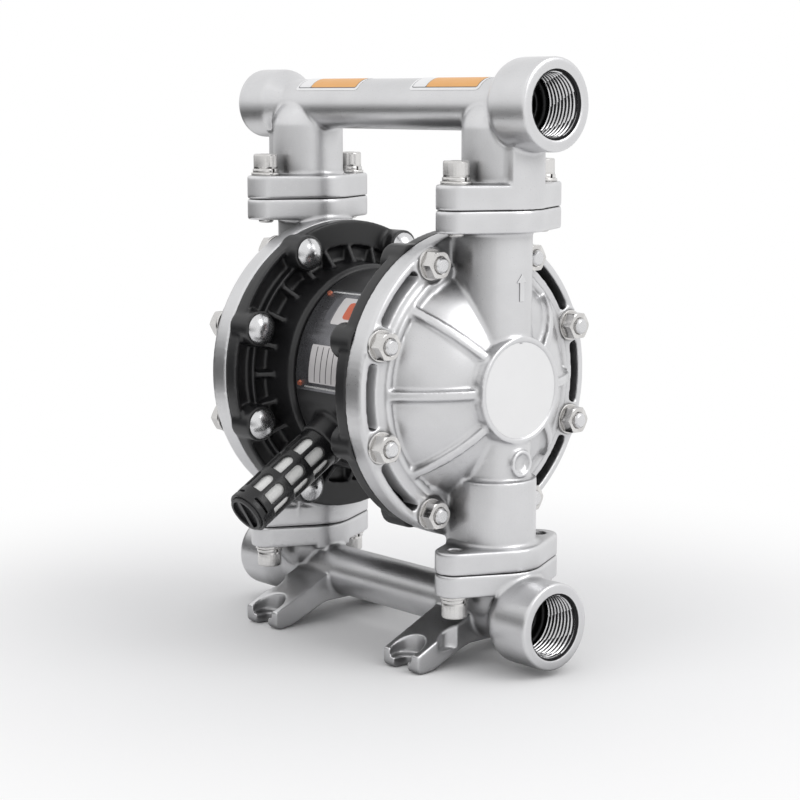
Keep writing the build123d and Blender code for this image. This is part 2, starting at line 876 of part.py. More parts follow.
# Clamp bolts with domed heads, washers and nuts
with BuildPart() as clamp_bolt:
    with BuildSketch(Plane.XZ):
        with BuildLine():
            ThreePointArc(
                (0, -clamp_head_height),
                (clamp_head_r / 2, -dome_rise(clamp_head_r, clamp_head_height, 0.5)),
                (clamp_head_r, 0),
            )
            Polyline(
                (clamp_head_r, 0),
                (clamp_bolt_r, 0),
                (clamp_bolt_r, clamp_bolt_end_x - air_boss_x - clamp_bolt_chamfer),
                (clamp_bolt_r - clamp_bolt_chamfer, clamp_bolt_end_x - air_boss_x),
                (0, clamp_bolt_end_x - air_boss_x),
                (0, -clamp_head_height),
            )
        make_face()
    revolve(axis=Axis.Z)
save_pair(copies(clamp_bolt, chamber_plane(air_boss_x), clamp_points), "clamp_bolts")

clamp_washer = ring(clamp_washer_r, clamp_bolt_r + thread_clearance, clamp_washer_height)
save_pair(copies(clamp_washer, chamber_plane(bolt_pad_x), clamp_points), "clamp_washers")

with BuildPart() as clamp_nut:
    corner_r = nut_across_flats / sqrt(3)
    with BuildSketch():
        RegularPolygon(nut_across_flats / 2, 6, major_radius=False)
    extrude(amount=nut_height)
    with BuildSketch(Plane.XZ):
        with BuildLine():
            Polyline(
                (0, 0),
                (corner_r - nut_chamfer, 0),
                (corner_r, nut_chamfer / 2),
                (corner_r, nut_height - nut_chamfer / 2),
                (corner_r - nut_chamfer, nut_height),
                (0, nut_height),
                close=True,
            )
        make_face()
    revolve(axis=Axis.Z, mode=Mode.INTERSECT)
    Hole(clamp_bolt_r + thread_clearance)
    chamfer(
        clamp_nut.edges()
        .filter_by(GeomType.CIRCLE)
        .filter_by(lambda e: abs(e.radius - clamp_bolt_r - thread_clearance) < 0.01)
        .sort_by(Axis.Z)[-1],
        nut_mouth,
    )
save_pair(
    copies(clamp_nut, chamber_plane(bolt_pad_x + clamp_washer_height), clamp_points),
    "clamp_nuts",
)


# Air cap: moulded cup with a lobed, pocketed rim and a ring of fins
with BuildPart() as air_cap:
    with BuildSketch(radial_plane(0)):
        with BuildLine():
            Polyline(
                (air_floor_x, 0),
                (air_floor_x, air_cup_r - cup_round),
                (air_floor_x + cup_round, air_cup_r),
                (air_web_x, air_cup_r),
                (air_web_x, air_ring_inner_r),
                (air_rim_x, air_ring_inner_r),
                (air_rim_x, air_rim_r),
                (joint_x, air_rim_r),
                (joint_x, 0),
                close=True,
            )
        make_face()
    revolve(axis=chamber_axis)
    # Fins across the open channel, sloping out to the ring
    with BuildSketch(chamber_plane(air_fin_inner_x)):
        with PolarLocations((air_cup_r + air_ring_inner_r) / 2, air_fin_count):
            Rectangle(air_ring_inner_r - air_cup_r + 2 * air_fin_overlap, air_fin_width)
    extrude(amount=joint_x - air_fin_inner_x)
    with BuildSketch(radial_plane(0)):
        with BuildLine():
            Polyline(
                (air_floor_x, air_cup_r),
                (air_fin_inner_x, air_cup_r),
                (air_rim_x, air_ring_inner_r),
                (air_rim_x, air_rim_r),
                (air_floor_x, air_rim_r),
                close=True,
            )
        make_face()
    revolve(axis=chamber_axis, mode=Mode.SUBTRACT)
    # Long pockets in the rim between the bolts
    with BuildSketch(chamber_plane(air_rim_x)):
        for arc in rim_pocket_arcs:
            SlotArc(arc, rim_pocket_width)
    extrude(amount=rim_pocket_floor_x - air_rim_x, mode=Mode.SUBTRACT)
    # Lobes and bosses that carry the clamp bolt heads
    with BuildSketch(chamber_plane(air_boss_x)):
        with Locations(*clamp_points):
            Circle(air_lobe_r)
    extrude(amount=joint_x - air_boss_x)
    # Turned air chamber and bead groove
    with BuildSketch(radial_plane(0)):
        with BuildLine():
            Polyline(
                (joint_x, 0),
                (joint_x, bead_outer_r),
                (joint_x - bead_depth, bead_outer_r),
                (joint_x - bead_depth, bead_inner_r),
                (joint_x - bead_depth - air_flare, air_cup_inner_r),
                (floor_inner_x + cup_round, air_cup_inner_r),
                (floor_inner_x, air_cup_inner_r - cup_round),
                (floor_inner_x, 0),
                close=True,
            )
        make_face()
    revolve(axis=chamber_axis, mode=Mode.SUBTRACT)
    # Holes for the rod bush, pilot bush, fixing screws and chamber air
    with BuildSketch(chamber_plane(air_floor_x)):
        Circle(rod_r + running_clearance + rod_bush_wall)
        with Locations((0, pilot_offset)):
            Circle(pilot_r + running_clearance + pilot_bush_wall)
        with PolarLocations(cap_screw_circle_r, cap_screw_count, start_angle=45):
            Circle(cap_screw_r + thread_clearance)
        with Locations((chamber_air_y, 0)):
            Circle(air_passage_r)
    extrude(amount=air_floor_thickness, mode=Mode.SUBTRACT)
    # Clamp bolt holes
    with BuildSketch(chamber_plane(air_boss_x)):
        with Locations(*clamp_points):
            Circle(clamp_bolt_r + thread_clearance)
    extrude(amount=joint_x - air_boss_x, mode=Mode.SUBTRACT)
save_pair(air_cap, "air_cap")

cap_screw = socket_screw(
    cap_screw_r, air_floor_thickness + gasket_thickness + cap_screw_depth, cap_screw_head_r,
    cap_screw_head_height, cap_screw_head_r,
)
cap_screw_points = [
    (
        cap_screw_circle_r * cos(radians(45 + 360 / cap_screw_count * i)),
        cap_screw_circle_r * sin(radians(45 + 360 / cap_screw_count * i)),
    )
    for i in range(cap_screw_count)
]
inward_plane = Plane((floor_inner_x, 0, chamber_z), x_dir=(0, 1, 0), z_dir=(-1, 0, 0))
save_pair(
    copies(cap_screw, inward_plane, [(y, -z) for y, z in cap_screw_points]), "air_cap_screws"
)

with BuildPart() as air_cap_gasket:
    with BuildSketch(chamber_plane(drum_half)):
        Circle(drum_r - cup_round)
        Circle(rod_r + running_clearance + rod_bush_wall, mode=Mode.SUBTRACT)
        with Locations((0, pilot_offset)):
            Circle(pilot_r + running_clearance + pilot_bush_wall, mode=Mode.SUBTRACT)
        with Locations(*cap_screw_points):
            Circle(cap_screw_r + thread_clearance, mode=Mode.SUBTRACT)
        with Locations((chamber_air_y, 0)):
            Circle(air_passage_r, mode=Mode.SUBTRACT)
    extrude(amount=gasket_thickness)
save_pair(air_cap_gasket, "air_cap_gasket")


# Diaphragm with a clamped bead and one fold
mid_plane_x = joint_x - diaphragm_thickness / 2
with BuildPart() as diaphragm:
    fold_middle_r = (fold_inner_r + fold_outer_r) / 2
    with BuildSketch(radial_plane(0)):
        with BuildLine():
            Line((mid_plane_x, diaphragm_hole_r + thread_clearance), (mid_plane_x, fold_inner_r))
            ThreePointArc(
                (mid_plane_x, fold_inner_r),
                (mid_plane_x - fold_depth, fold_middle_r),
                (mid_plane_x, fold_outer_r),
            )
            Polyline(
                (mid_plane_x, fold_outer_r),
                (joint_x - bead_depth, bead_inner_r),
                (joint_x - bead_depth, bead_outer_r),
                (joint_x + bead_depth, bead_outer_r),
                (joint_x + bead_depth, bead_inner_r),
                (mid_plane_x + diaphragm_thickness, fold_outer_r),
            )
            ThreePointArc(
                (mid_plane_x + diaphragm_thickness, fold_outer_r),
                (mid_plane_x + diaphragm_thickness - fold_depth, fold_middle_r),
                (mid_plane_x + diaphragm_thickness, fold_inner_r),
            )
            Polyline(
                (mid_plane_x + diaphragm_thickness, fold_inner_r),
                (mid_plane_x + diaphragm_thickness, diaphragm_hole_r + thread_clearance),
                (mid_plane_x, diaphragm_hole_r + thread_clearance),
            )
        make_face()
    revolve(axis=chamber_axis)
save_pair(diaphragm, "diaphragm")


# Plates that grip each diaphragm, and the rod that joins them
air_plate_x = mid_plane_x - air_plate_thickness
fluid_plate_x = mid_plane_x + diaphragm_thickness
with BuildPart() as air_plate:
    with BuildSketch(radial_plane(0)):
        with BuildLine():
            Polyline(
                (air_plate_x, rod_stud_r + thread_clearance),
                (air_plate_x, plate_r - plate_edge),
                (air_plate_x + plate_edge, plate_r),
                (mid_plane_x, plate_r),
                (mid_plane_x, rod_stud_r + thread_clearance),
                close=True,
            )
        make_face()
    revolve(axis=chamber_axis)
save_pair(air_plate, "air_plate")

crown_height = fluid_plate_thickness - plate_edge
with BuildPart() as fluid_plate:
    with BuildSketch(radial_plane(0)):
        with BuildLine():
            Polyline(
                (fluid_plate_x + fluid_plate_thickness, 0),
                (rod_stud_end_x + thread_clearance, 0),
                (rod_stud_end_x + thread_clearance, rod_stud_r + thread_clearance),
                (fluid_plate_x, rod_stud_r + thread_clearance),
                (fluid_plate_x, plate_r),
                (fluid_plate_x + plate_edge, plate_r),
            )
            ThreePointArc(
                (fluid_plate_x + plate_edge, plate_r),
                (fluid_plate_x + plate_edge + dome_rise(plate_r, crown_height, 0.5), plate_r / 2),
                (fluid_plate_x + fluid_plate_thickness, 0),
            )
        make_face()
    revolve(axis=chamber_axis)
save_pair(fluid_plate, "fluid_plate")

with BuildPart() as diaphragm_rod:
    with BuildSketch(chamber_plane(-air_plate_x)):
        Circle(rod_r)
    extrude(amount=2 * air_plate_x)
    with BuildSketch(chamber_plane(-rod_stud_end_x)):
        Circle(rod_stud_r)
    extrude(amount=2 * rod_stud_end_x)
save(diaphragm_rod, "diaphragm_rod")


# Bushes and seals of the rod and the pilot rod
rod_bush = ring(
    rod_r + running_clearance + rod_bush_wall, rod_r + running_clearance, rod_bush_length
)
bush_start_x = floor_inner_x - rod_bush_length
pilot_bush = ring(
    pilot_r + running_clearance + pilot_bush_wall, pilot_r + running_clearance, pilot_bush_length
)
rod_seal = ring(
    rod_r + running_clearance + rod_bush_wall, rod_r + seat_clearance, rod_seal_length
)
for piece, name, start_x, length, offset in (
    (rod_bush, "rod_bushes", bush_start_x, rod_bush_length, 0),
    (rod_seal, "rod_seals", bush_start_x - rod_seal_length, rod_seal_length, 0),
    (pilot_bush, "pilot_bushes", floor_inner_x - pilot_bush_length, pilot_bush_length,
     pilot_offset),
):
    with BuildPart() as pair:
        add(copies(piece, chamber_plane(start_x), [(0, offset)]).part)
        add(copies(piece, chamber_plane(-start_x - length), [(0, offset)]).part)
    save(pair, name)

with BuildPart() as pilot_rod:
    with BuildSketch(chamber_plane(-pilot_half_length)):
        with Locations((0, pilot_offset)):
            Circle(pilot_r)
    extrude(amount=2 * pilot_half_length)
save(pilot_rod, "pilot_rod")


# Centre body: moulded drum with the exhaust boss and the pad of the air valve
with BuildPart() as center_body:
    with BuildSketch(chamber_plane(-drum_half)):
        Circle(drum_r)
    extrude(amount=2 * drum_half)
    with BuildSketch(rear_plane(0)):
        Rectangle(2 * drum_half, 2 * valve_pad_half_height)
    extrude(amount=valve_pad_y)
    with BuildSketch(outward_plane(muffler_angle, exhaust_boss_root)):
        Circle(exhaust_boss_r)
    extrude(amount=muffler_root - exhaust_boss_root)
    # Rod bore with wider ends for the bushes and seals
    with BuildSketch(chamber_plane(-drum_half)):
        Circle(rod_r + drum_clearance)
        with Locations((0, pilot_offset)):
            Circle(pilot_r + drum_clearance)
    extrude(amount=2 * drum_half, mode=Mode.SUBTRACT)
    for face_x, direction in ((drum_half, -1), (-drum_half, 1)):
        with BuildSketch(chamber_plane(face_x)):
            Circle(rod_r + running_clearance + rod_bush_wall)
        extrude(
            amount=direction * (drum_half - bush_start_x + rod_seal_length), mode=Mode.SUBTRACT
        )
        with BuildSketch(chamber_plane(face_x)):
            with Locations((0, pilot_offset)):
                Circle(pilot_r + running_clearance + pilot_bush_wall)
        extrude(
            amount=direction * (drum_half - floor_inner_x + pilot_bush_length),
            mode=Mode.SUBTRACT,
        )
        with BuildSketch(chamber_plane(face_x)):
            with Locations(*cap_screw_points):
                Circle(cap_screw_r + thread_clearance)
        extrude(amount=direction * (cap_screw_depth + tapped_extra), mode=Mode.SUBTRACT)
    # Exhaust bore, tapped at its mouth for the muffler
    with BuildSketch(outward_plane(muffler_angle, rod_r + 2 * rod_bush_wall)):
        Circle(exhaust_bore_r)
    extrude(amount=muffler_root, mode=Mode.SUBTRACT)
    with BuildSketch(outward_plane(muffler_angle, muffler_root)):
        Circle(muffler_nipple_r + thread_clearance)
    extrude(amount=-(muffler_nipple_length + tapped_extra), mode=Mode.SUBTRACT)
    # Tapped holes for the valve screws
    with BuildSketch(rear_plane(valve_pad_y)):
        with GridLocations(2 * valve_screw_x, 2 * valve_screw_z, 2, 2):
            Circle(valve_screw_r + thread_clearance)
    extrude(amount=-(valve_screw_depth + tapped_extra), mode=Mode.SUBTRACT)
    # Air passages from the pad to both faces, and from the pad to the exhaust bore
    with BuildSketch(rear_plane(valve_pad_y)):
        with GridLocations(2 * chamber_port_x, 0, 2, 1):
            Circle(air_passage_r)
    extrude(amount=chamber_air_y - valve_pad_y, mode=Mode.SUBTRACT)
    for start_x, end_x in ((chamber_port_x, drum_half), (-drum_half, -chamber_port_x)):
        with BuildSketch(chamber_plane(start_x)):
            with Locations((chamber_air_y, 0)):
                Circle(air_passage_r)
        extrude(amount=end_x - start_x, mode=Mode.SUBTRACT)
    with BuildSketch(rear_plane(valve_pad_y)):
        with Locations((0, exhaust_port_z - chamber_z)):
            Circle(exhaust_port_r)
    extrude(
        amount=(chamber_z - exhaust_port_z) * tan(radians(muffler_angle)) - valve_pad_y,
        mode=Mode.SUBTRACT,
    )
save(center_body, "center_body")


# Muffler: windowed cage with a threaded nipple, a porous element and an end cap
root_plane = outward_plane(muffler_angle, muffler_root)
with BuildPart() as muffler_cage:
    with BuildSketch(root_plane):
        Circle(muffler_r)
    extrude(amount=muffler_length - end_cap_recess)
    with BuildSketch(root_plane):
        Circle(muffler_nipple_r)
    extrude(amount=-muffler_nipple_length)
    with BuildSketch(root_plane.offset(muffler_collar)):
        Circle(muffler_r - muffler_wall)
    extrude(amount=muffler_length, mode=Mode.SUBTRACT)
    with BuildSketch(root_plane.offset(-muffler_nipple_length)):
        Circle(muffler_nipple_r - muffler_wall)
    extrude(amount=muffler_nipple_length + muffler_collar, mode=Mode.SUBTRACT)
    # Each cut makes two opposite windows, square outside and round towards the pump
    for step in range(muffler_window_count // 2):
        turn = radians(muffler_window_turn + 360 / muffler_window_count * step)
        facing = root_plane.x_dir * cos(turn) + root_plane.y_dir * sin(turn)
        window_plane = Plane(root_plane.origin, x_dir=root_plane.z_dir, z_dir=facing)
        for row in range(muffler_window_rows):
            start = muffler_window_start + row * muffler_window_pitch
            with BuildSketch(window_plane) as window:
                with Locations((start + muffler_window_width / 2, 0)):
                    Circle(muffler_window_width / 2)
                with Locations(
                    (start + (muffler_window_length + muffler_window_width / 2) / 2, 0)
                ):
                    Rectangle(
                        muffler_window_length - muffler_window_width / 2, muffler_window_width
                    )
            extrude(window.sketch, amount=muffler_r + 1, both=True, mode=Mode.SUBTRACT)
        # Narrow snap slots that hold the end cap, at every other window
        if step % 2 == 0:
            with BuildSketch(window_plane) as snap_slot:
                with Locations((muffler_length - snap_slot_inset, 0)):
                    Rectangle(snap_slot_width, snap_slot_length)
            extrude(snap_slot.sketch, amount=muffler_r + 1, both=True, mode=Mode.SUBTRACT)
save(muffler_cage, "muffler_cage")

element_r = muffler_r - muffler_wall - loose_clearance / 2
element_length = muffler_length - muffler_collar - muffler_end_length
with BuildPart() as muffler_element:
    with BuildSketch(root_plane.offset(muffler_collar)):
        Circle(element_r)
        Circle(element_r - muffler_element_wall, mode=Mode.SUBTRACT)
    extrude(amount=element_length)
save(muffler_element, "muffler_element")

with BuildPart() as muffler_end_cap:
    with BuildSketch(root_plane.offset(muffler_length - muffler_end_length)):
        Circle(muffler_r - muffler_wall - thread_clearance)
    extrude(amount=muffler_end_length)
    with BuildSketch(root_plane.offset(muffler_length)):
        Circle(muffler_r - muffler_wall - end_cap_rim)
        Rectangle(end_cap_bar_width, 2 * muffler_r, mode=Mode.SUBTRACT)
    extrude(amount=-end_cap_recess, mode=Mode.SUBTRACT)
save(muffler_end_cap, "muffler_end_cap")


# Blank nameplate bent round the drum, and its rivets
with BuildPart() as nameplate:
    reach = 2 * drum_r
    middle = (nameplate_start + nameplate_end) / 2
    with BuildSketch(chamber_plane(-nameplate_half_width)):
        Circle(drum_r + nameplate_thickness)
        with BuildLine():
            Polyline(
                (0, 0),
                (reach * sin(radians(nameplate_start)), reach * cos(radians(nameplate_start))),
                (reach * sin(radians(middle)), reach * cos(radians(middle))),
                (reach * sin(radians(nameplate_end)), reach * cos(radians(nameplate_end))),
                close=True,
            )
        make_face(mode=Mode.INTERSECT)
        Circle(drum_r, mode=Mode.SUBTRACT)
    extrude(amount=2 * nameplate_half_width)
save(nameplate, "nameplate")

with BuildPart() as nameplate_rivets:
    for angle in (nameplate_start - rivet_angle_inset, nameplate_end + rivet_angle_inset):
        with BuildSketch(outward_plane(angle, drum_r + nameplate_thickness)):
            with GridLocations(2 * (nameplate_half_width - rivet_inset), 0, 2, 1):
                Circle(rivet_r)
        extrude(amount=rivet_height, taper=rivet_taper)
save(nameplate_rivets, "nameplate_rivets")


# Air valve: gasket, block, sleeve, spool, end caps and screws
def spool_plane(x):
    """Plane across the spool axis, local y up."""
    return Plane((x, spool_y, chamber_z), x_dir=(0, 1, 0), z_dir=(1, 0, 0))


with BuildPart() as valve_gasket:
    with BuildSketch(rear_plane(valve_pad_y)):
        Rectangle(2 * drum_half, 2 * valve_half_height)
        with GridLocations(2 * valve_screw_x, 2 * valve_screw_z, 2, 2):
            Circle(valve_screw_r + thread_clearance, mode=Mode.SUBTRACT)
        with GridLocations(2 * chamber_port_x, 0, 2, 1):
            Circle(air_passage_r, mode=Mode.SUBTRACT)
        with Locations((0, exhaust_port_z - chamber_z)):
            Circle(exhaust_port_r, mode=Mode.SUBTRACT)
    extrude(amount=valve_gasket_thickness)
save(valve_gasket, "valve_gasket")

with BuildPart() as valve_block:
    with BuildSketch(rear_plane(valve_back_y)):
        RectangleRounded(2 * valve_half_length, 2 * valve_half_height, valve_edge_round)
    extrude(amount=valve_depth)
    fillet(valve_block.faces().sort_by(Axis.Y)[-1].edges(), valve_edge_round / 2)
    with BuildSketch(rear_plane(valve_front_y - valve_edge_round)):
        Circle(air_inlet_boss_r)
    extrude(amount=air_inlet_boss_height + valve_edge_round)
    with BuildSketch(spool_plane(-valve_half_length)):
        Circle(sleeve_r)
    extrude(amount=2 * valve_half_length, mode=Mode.SUBTRACT)
    with BuildSketch(rear_plane(air_inlet_y)):
        Circle(air_inlet_thread_r)
    extrude(amount=-air_inlet_length, mode=Mode.SUBTRACT)
    with BuildSketch(rear_plane(valve_back_y)):
        with GridLocations(2 * valve_screw_x, 2 * valve_screw_z, 2, 2):
            Circle(valve_screw_r + thread_clearance)
    extrude(amount=valve_depth, mode=Mode.SUBTRACT)
    # Air passages: inlet to the sleeve, two chamber ports and the exhaust slot at the back
    with BuildSketch(rear_plane(air_inlet_y)):
        Circle(air_passage_r)
    extrude(amount=spool_y - air_inlet_y, mode=Mode.SUBTRACT)
    with BuildSketch(rear_plane(valve_back_y)):
        with GridLocations(2 * chamber_port_x, 0, 2, 1):
            Circle(air_passage_r)
    extrude(amount=spool_offset_y, mode=Mode.SUBTRACT)
    with BuildSketch(rear_plane(valve_back_y)):
        with Locations((0, (exhaust_port_z - chamber_z) / 2)):
            Rectangle(2 * exhaust_port_r, chamber_z - exhaust_port_z + 2 * exhaust_port_r)
    extrude(amount=exhaust_slot_depth, mode=Mode.SUBTRACT)
save(valve_block, "valve_block")

sleeve_half = valve_half_length - valve_spigot
sleeve_bore_r = sleeve_r - sleeve_wall
with BuildPart() as valve_sleeve:
    with BuildSketch(spool_plane(-sleeve_half)):
        Circle(sleeve_r)
        Circle(sleeve_bore_r, mode=Mode.SUBTRACT)
    extrude(amount=2 * sleeve_half)
    # Ports: two chambers and the exhaust towards the drum, the inlet on the other side
    with BuildSketch(rear_plane(spool_y)):
        with GridLocations(chamber_port_x, 0, 3, 1):
            Circle(sleeve_port_r)
    extrude(amount=-sleeve_r, mode=Mode.SUBTRACT)
    with BuildSketch(rear_plane(spool_y)):
        Circle(sleeve_port_r)
    extrude(amount=sleeve_r, mode=Mode.SUBTRACT)
save(valve_sleeve, "valve_sleeve")

spool_start_x = spool_end_gap - sleeve_half
with BuildPart() as valve_spool:
    with BuildSketch(spool_plane(spool_start_x)):
        Circle(spool_waist_r)
    extrude(amount=spool_length)
    for step in range(3):
        land_x = spool_start_x + step * (spool_length - spool_land) / 2
        with BuildSketch(spool_plane(land_x)):
            Circle(sleeve_bore_r - running_clearance)
        extrude(amount=spool_land)
save(valve_spool, "valve_spool")

with BuildPart() as valve_end_cap:
    with BuildSketch(spool_plane(valve_half_length)):
        Circle(valve_cap_r)
    extrude(amount=valve_cap_thickness)
    with BuildSketch(spool_plane(sleeve_half)):
        Circle(sleeve_r - thread_clearance)
    extrude(amount=valve_spigot)
    chamfer(valve_end_cap.faces().sort_by(Axis.X)[-1].edges(), valve_cap_chamfer)
    with BuildSketch(spool_plane(valve_half_length + valve_cap_thickness)):
        RegularPolygon(valve_cap_flats / 2, 6, major_radius=False)
    extrude(amount=-valve_cap_thickness / 2, mode=Mode.SUBTRACT)
save_pair(valve_end_cap, "valve_end_cap")

valve_screw = socket_screw(
    valve_screw_r, valve_depth + valve_gasket_thickness + valve_screw_depth, valve_screw_head_r,
    valve_screw_head_height, valve_screw_head_r,
)
front_facing = Plane((0, valve_front_y, chamber_z), x_dir=(1, 0, 0), z_dir=(0, -1, 0))
valve_screw_points = [
    (x, z) for x in (valve_screw_x, -valve_screw_x) for z in (valve_screw_z, -valve_screw_z)
]
save(copies(valve_screw, front_facing, valve_screw_points), "valve_screws")
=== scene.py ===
import json
import math

import bmesh
import bpy
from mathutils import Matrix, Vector


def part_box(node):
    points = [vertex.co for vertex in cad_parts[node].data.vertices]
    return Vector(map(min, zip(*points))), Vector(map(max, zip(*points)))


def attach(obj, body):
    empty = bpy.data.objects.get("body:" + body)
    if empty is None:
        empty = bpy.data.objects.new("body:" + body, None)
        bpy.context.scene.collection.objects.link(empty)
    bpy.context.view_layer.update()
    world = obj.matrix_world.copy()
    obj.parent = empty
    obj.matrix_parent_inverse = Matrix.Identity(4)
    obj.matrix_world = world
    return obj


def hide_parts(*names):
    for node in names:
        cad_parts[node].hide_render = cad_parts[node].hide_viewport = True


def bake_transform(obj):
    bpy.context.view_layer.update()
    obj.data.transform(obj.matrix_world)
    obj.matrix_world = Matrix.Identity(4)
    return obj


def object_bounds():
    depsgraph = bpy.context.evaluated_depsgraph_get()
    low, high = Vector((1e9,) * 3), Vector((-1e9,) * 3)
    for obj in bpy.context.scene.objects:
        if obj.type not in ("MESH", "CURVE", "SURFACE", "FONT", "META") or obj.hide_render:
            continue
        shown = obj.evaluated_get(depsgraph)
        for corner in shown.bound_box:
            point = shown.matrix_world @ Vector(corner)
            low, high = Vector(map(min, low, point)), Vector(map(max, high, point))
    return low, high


# Looks of an air operated double diaphragm pump, in metres, in the frame of the solids.
# X runs along the chambers towards the threaded ports, -Y is the front with the muffler.

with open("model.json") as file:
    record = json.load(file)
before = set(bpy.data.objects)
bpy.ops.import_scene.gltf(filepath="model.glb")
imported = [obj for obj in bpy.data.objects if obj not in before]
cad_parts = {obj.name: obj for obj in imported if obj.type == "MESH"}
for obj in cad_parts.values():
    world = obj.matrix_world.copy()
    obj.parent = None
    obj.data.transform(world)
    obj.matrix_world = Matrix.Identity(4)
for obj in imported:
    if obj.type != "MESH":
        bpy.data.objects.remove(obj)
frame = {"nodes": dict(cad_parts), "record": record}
cad_low, cad_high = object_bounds()
nodes = frame["nodes"]
mm = 0.001
x_axis, y_axis, z_axis = Vector((1, 0, 0)), Vector((0, 1, 0)), Vector((0, 0, 1))

# Boxes of the solids that added pieces sit on
outlet_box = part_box("outlet_manifold")
inlet_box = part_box("inlet_manifold")
valve_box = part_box("valve_block")
bolt_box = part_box("clamp_bolts_right")
nut_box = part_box("clamp_nuts_right")
rod_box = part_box("diaphragm_rod")
screw_boxes = {"outlet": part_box("outlet_flange_screws"), "inlet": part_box("inlet_flange_screws")}
chamber_z = (rod_box[0].z + rod_box[1].z) / 2

# Ports and their threads
outlet_boss_r = 22.9 * mm
outlet_axis_z = outlet_box[1].z - outlet_boss_r
inlet_axis_z = 25.5 * mm
pipe_r = 13.2 * mm
pipe_bore_r = 10.2 * mm
bore_end_x = -90.0 * mm
bore_margin = 0.5 * mm
port_major_r = 16.6 * mm
port_minor_r = 15.15 * mm
port_pitch = 2.309 * mm
port_thread_length = 21.0 * mm
port_depth = 24.5 * mm
port_lip = 0.4 * mm
air_major_r = 6.55 * mm
air_minor_r = 5.75 * mm
air_pitch = 1.337 * mm
air_thread_length = 10.5 * mm
air_lip = 0.6 * mm
thread_columns = 96
thread_rows_per_pitch = 8
thread_sleeve_share = 0.995
thread_flank_share = 1.15
thread_root_share = 0.55

# Clamp bolts and flange screws
clamp_circle_r = 71.2 * mm
clamp_angles = (28.0, 69.3, 110.7, 152.0)
clamp_bolt_r = 4.0 * mm
clamp_crest = 0.22 * mm
clamp_pitch = 1.25 * mm
clamp_tip_chamfer = 1.0 * mm
clamp_thread_start = 0.5 * mm
clamp_thread_sink = 0.08 * mm
clamp_core_share = 0.9
clamp_thread_columns = 40
clamp_thread_rows = 30
flange_head_r = 6.5 * mm
flange_head_height = 8.0 * mm
knurl_count = 60
knurl_relief = 0.07 * mm
knurl_margin = 1.1 * mm
knurl_sink = 0.02 * mm
knurl_core_depth = 0.3 * mm
knurl_points = 4

# Dome of the fluid caps: ribs, rim ledge and hub
rib_angles = (48.65, 90.0, 131.35)
rib_half_width = 2.2 * mm
rib_fade = 0.6 * mm
rib_reach = 15.0 * mm
rib_start = 20.0 * mm
rib_overrun = 4.4 * mm
hub_r = 27.0 * mm
hub_fade_start = 0.3 * mm
hub_fade_end = 0.9 * mm
ledge_r = 59.8 * mm
dome_base_x = 60.8 * mm
ledge_x = 62.8 * mm
dome_points = ((ledge_r, dome_base_x), (45.0 * mm, 76.1 * mm), (hub_r, 85.0 * mm))
rim_slot_r = 67.4 * mm
rim_slot_width = 5.2 * mm
rim_slot_band = 0.65 * rim_slot_width
rim_face_x = 60.5 * mm
rim_lip = 0.4 * mm
side_bolt_y = 33.43 * mm
side_bolt_z = 62.87 * mm
side_bolt_boss_r = 13.2 * mm

# Columns of the fluid caps, which carry the cast arrow
column_front_x = 91.3 * mm
upper_column_r = 18.3 * mm
lower_column_r = 21.4 * mm
lower_column_top_z = 96.0 * mm
arrow_bottom_z = 186.5 * mm
arrow_height = 13.5 * mm
arrow_width = 6.6 * mm
arrow_head_height = 4.2 * mm
arrow_shaft_width = 3.0 * mm
arrow_relief = 0.45 * mm
arrow_root = 1.0 * mm
arrow_edge = 0.15 * mm

# Diaphragms, cut in wedges that run from their clamped rim to the plates on the rod
wedge_count = 12
merge_distance = 0.001 * mm

# Nameplate and labels
plate_r = 54.8 * mm
label_length = 51.0 * mm
label_box_length = 11.6 * mm
label_starts = {"far": -72.0 * mm, "near": 20.0 * mm}
label_gap = 0.02 * mm
paper = 0.12 * mm
print_height = 0.04 * mm
rule_starts = (-4.5, 0.0, 4.5, 9.0, 13.0)
rule_width = 0.5
patch_rows, patch_columns = 16, 28

# Modifiers that soften castings and mouldings and break sharp edges
casting_voxel = 0.7 * mm
moulding_voxel = 0.8 * mm
cage_voxel = 0.4 * mm
relax_rounds = 3
cage_relax_rounds = 2
fill_rounds = 9
fill_depth = 0.2 * mm
fill_least = 0.12
weld_distance = 0.002 * mm
bevel_angle = 35

# Casting finish, its grain, its paler edges (wear and painted highlight), and painted shade in its
# bores and crevices
steel_grey = (0.65, 0.65, 0.66)
# Near-black painted shade inside the pipe bores and ports
bore_painted_shade = (0.05, 0.05, 0.052)
cast_metallic = 0.95
noise_low, noise_high = 0.3, 0.7
# Pointiness range of the paler edges, which are wear and painted highlight
flat_edge, edge_wear_and_highlight_end = 0.5, 0.58
grain_strength = 0.6
turning_strength = 0.3
turning_distortion = 0.5
# Painted shade in crevices: reach, darkest share of the tone, occlusion range and samples
crevice_shade_reach = 22 * mm
crevice_shade_share = 0.30
crevice_shade_shut, crevice_shade_open = 0.35, 0.85
crevice_shade_samples = 8


# Node helpers

def link(tree, source, socket, target, name):
    """Join an output of one node to a named input of another."""
    tree.links.new(source.outputs[socket], target.inputs[name])


def noise(tree, coords, scale, detail=2.0, roughness=0.5):
    """Noise texture in object space."""
    made = tree.nodes.new("ShaderNodeTexNoise")
    made.inputs["Scale"].default_value = scale
    made.inputs["Detail"].default_value = detail
    made.inputs["Roughness"].default_value = roughness
    link(tree, coords, "Object", made, "Vector")
    return made


def ramp(tree, source, socket, low, high, low_value, high_value):
    """Map Range from low..high to two values, clamped."""
    made = tree.nodes.new("ShaderNodeMapRange")
    made.inputs["From Min"].default_value = low
    made.inputs["From Max"].default_value = high
    made.inputs["To Min"].default_value = low_value
    made.inputs["To Max"].default_value = high_value
    link(tree, source, socket, made, "Value")
    return made


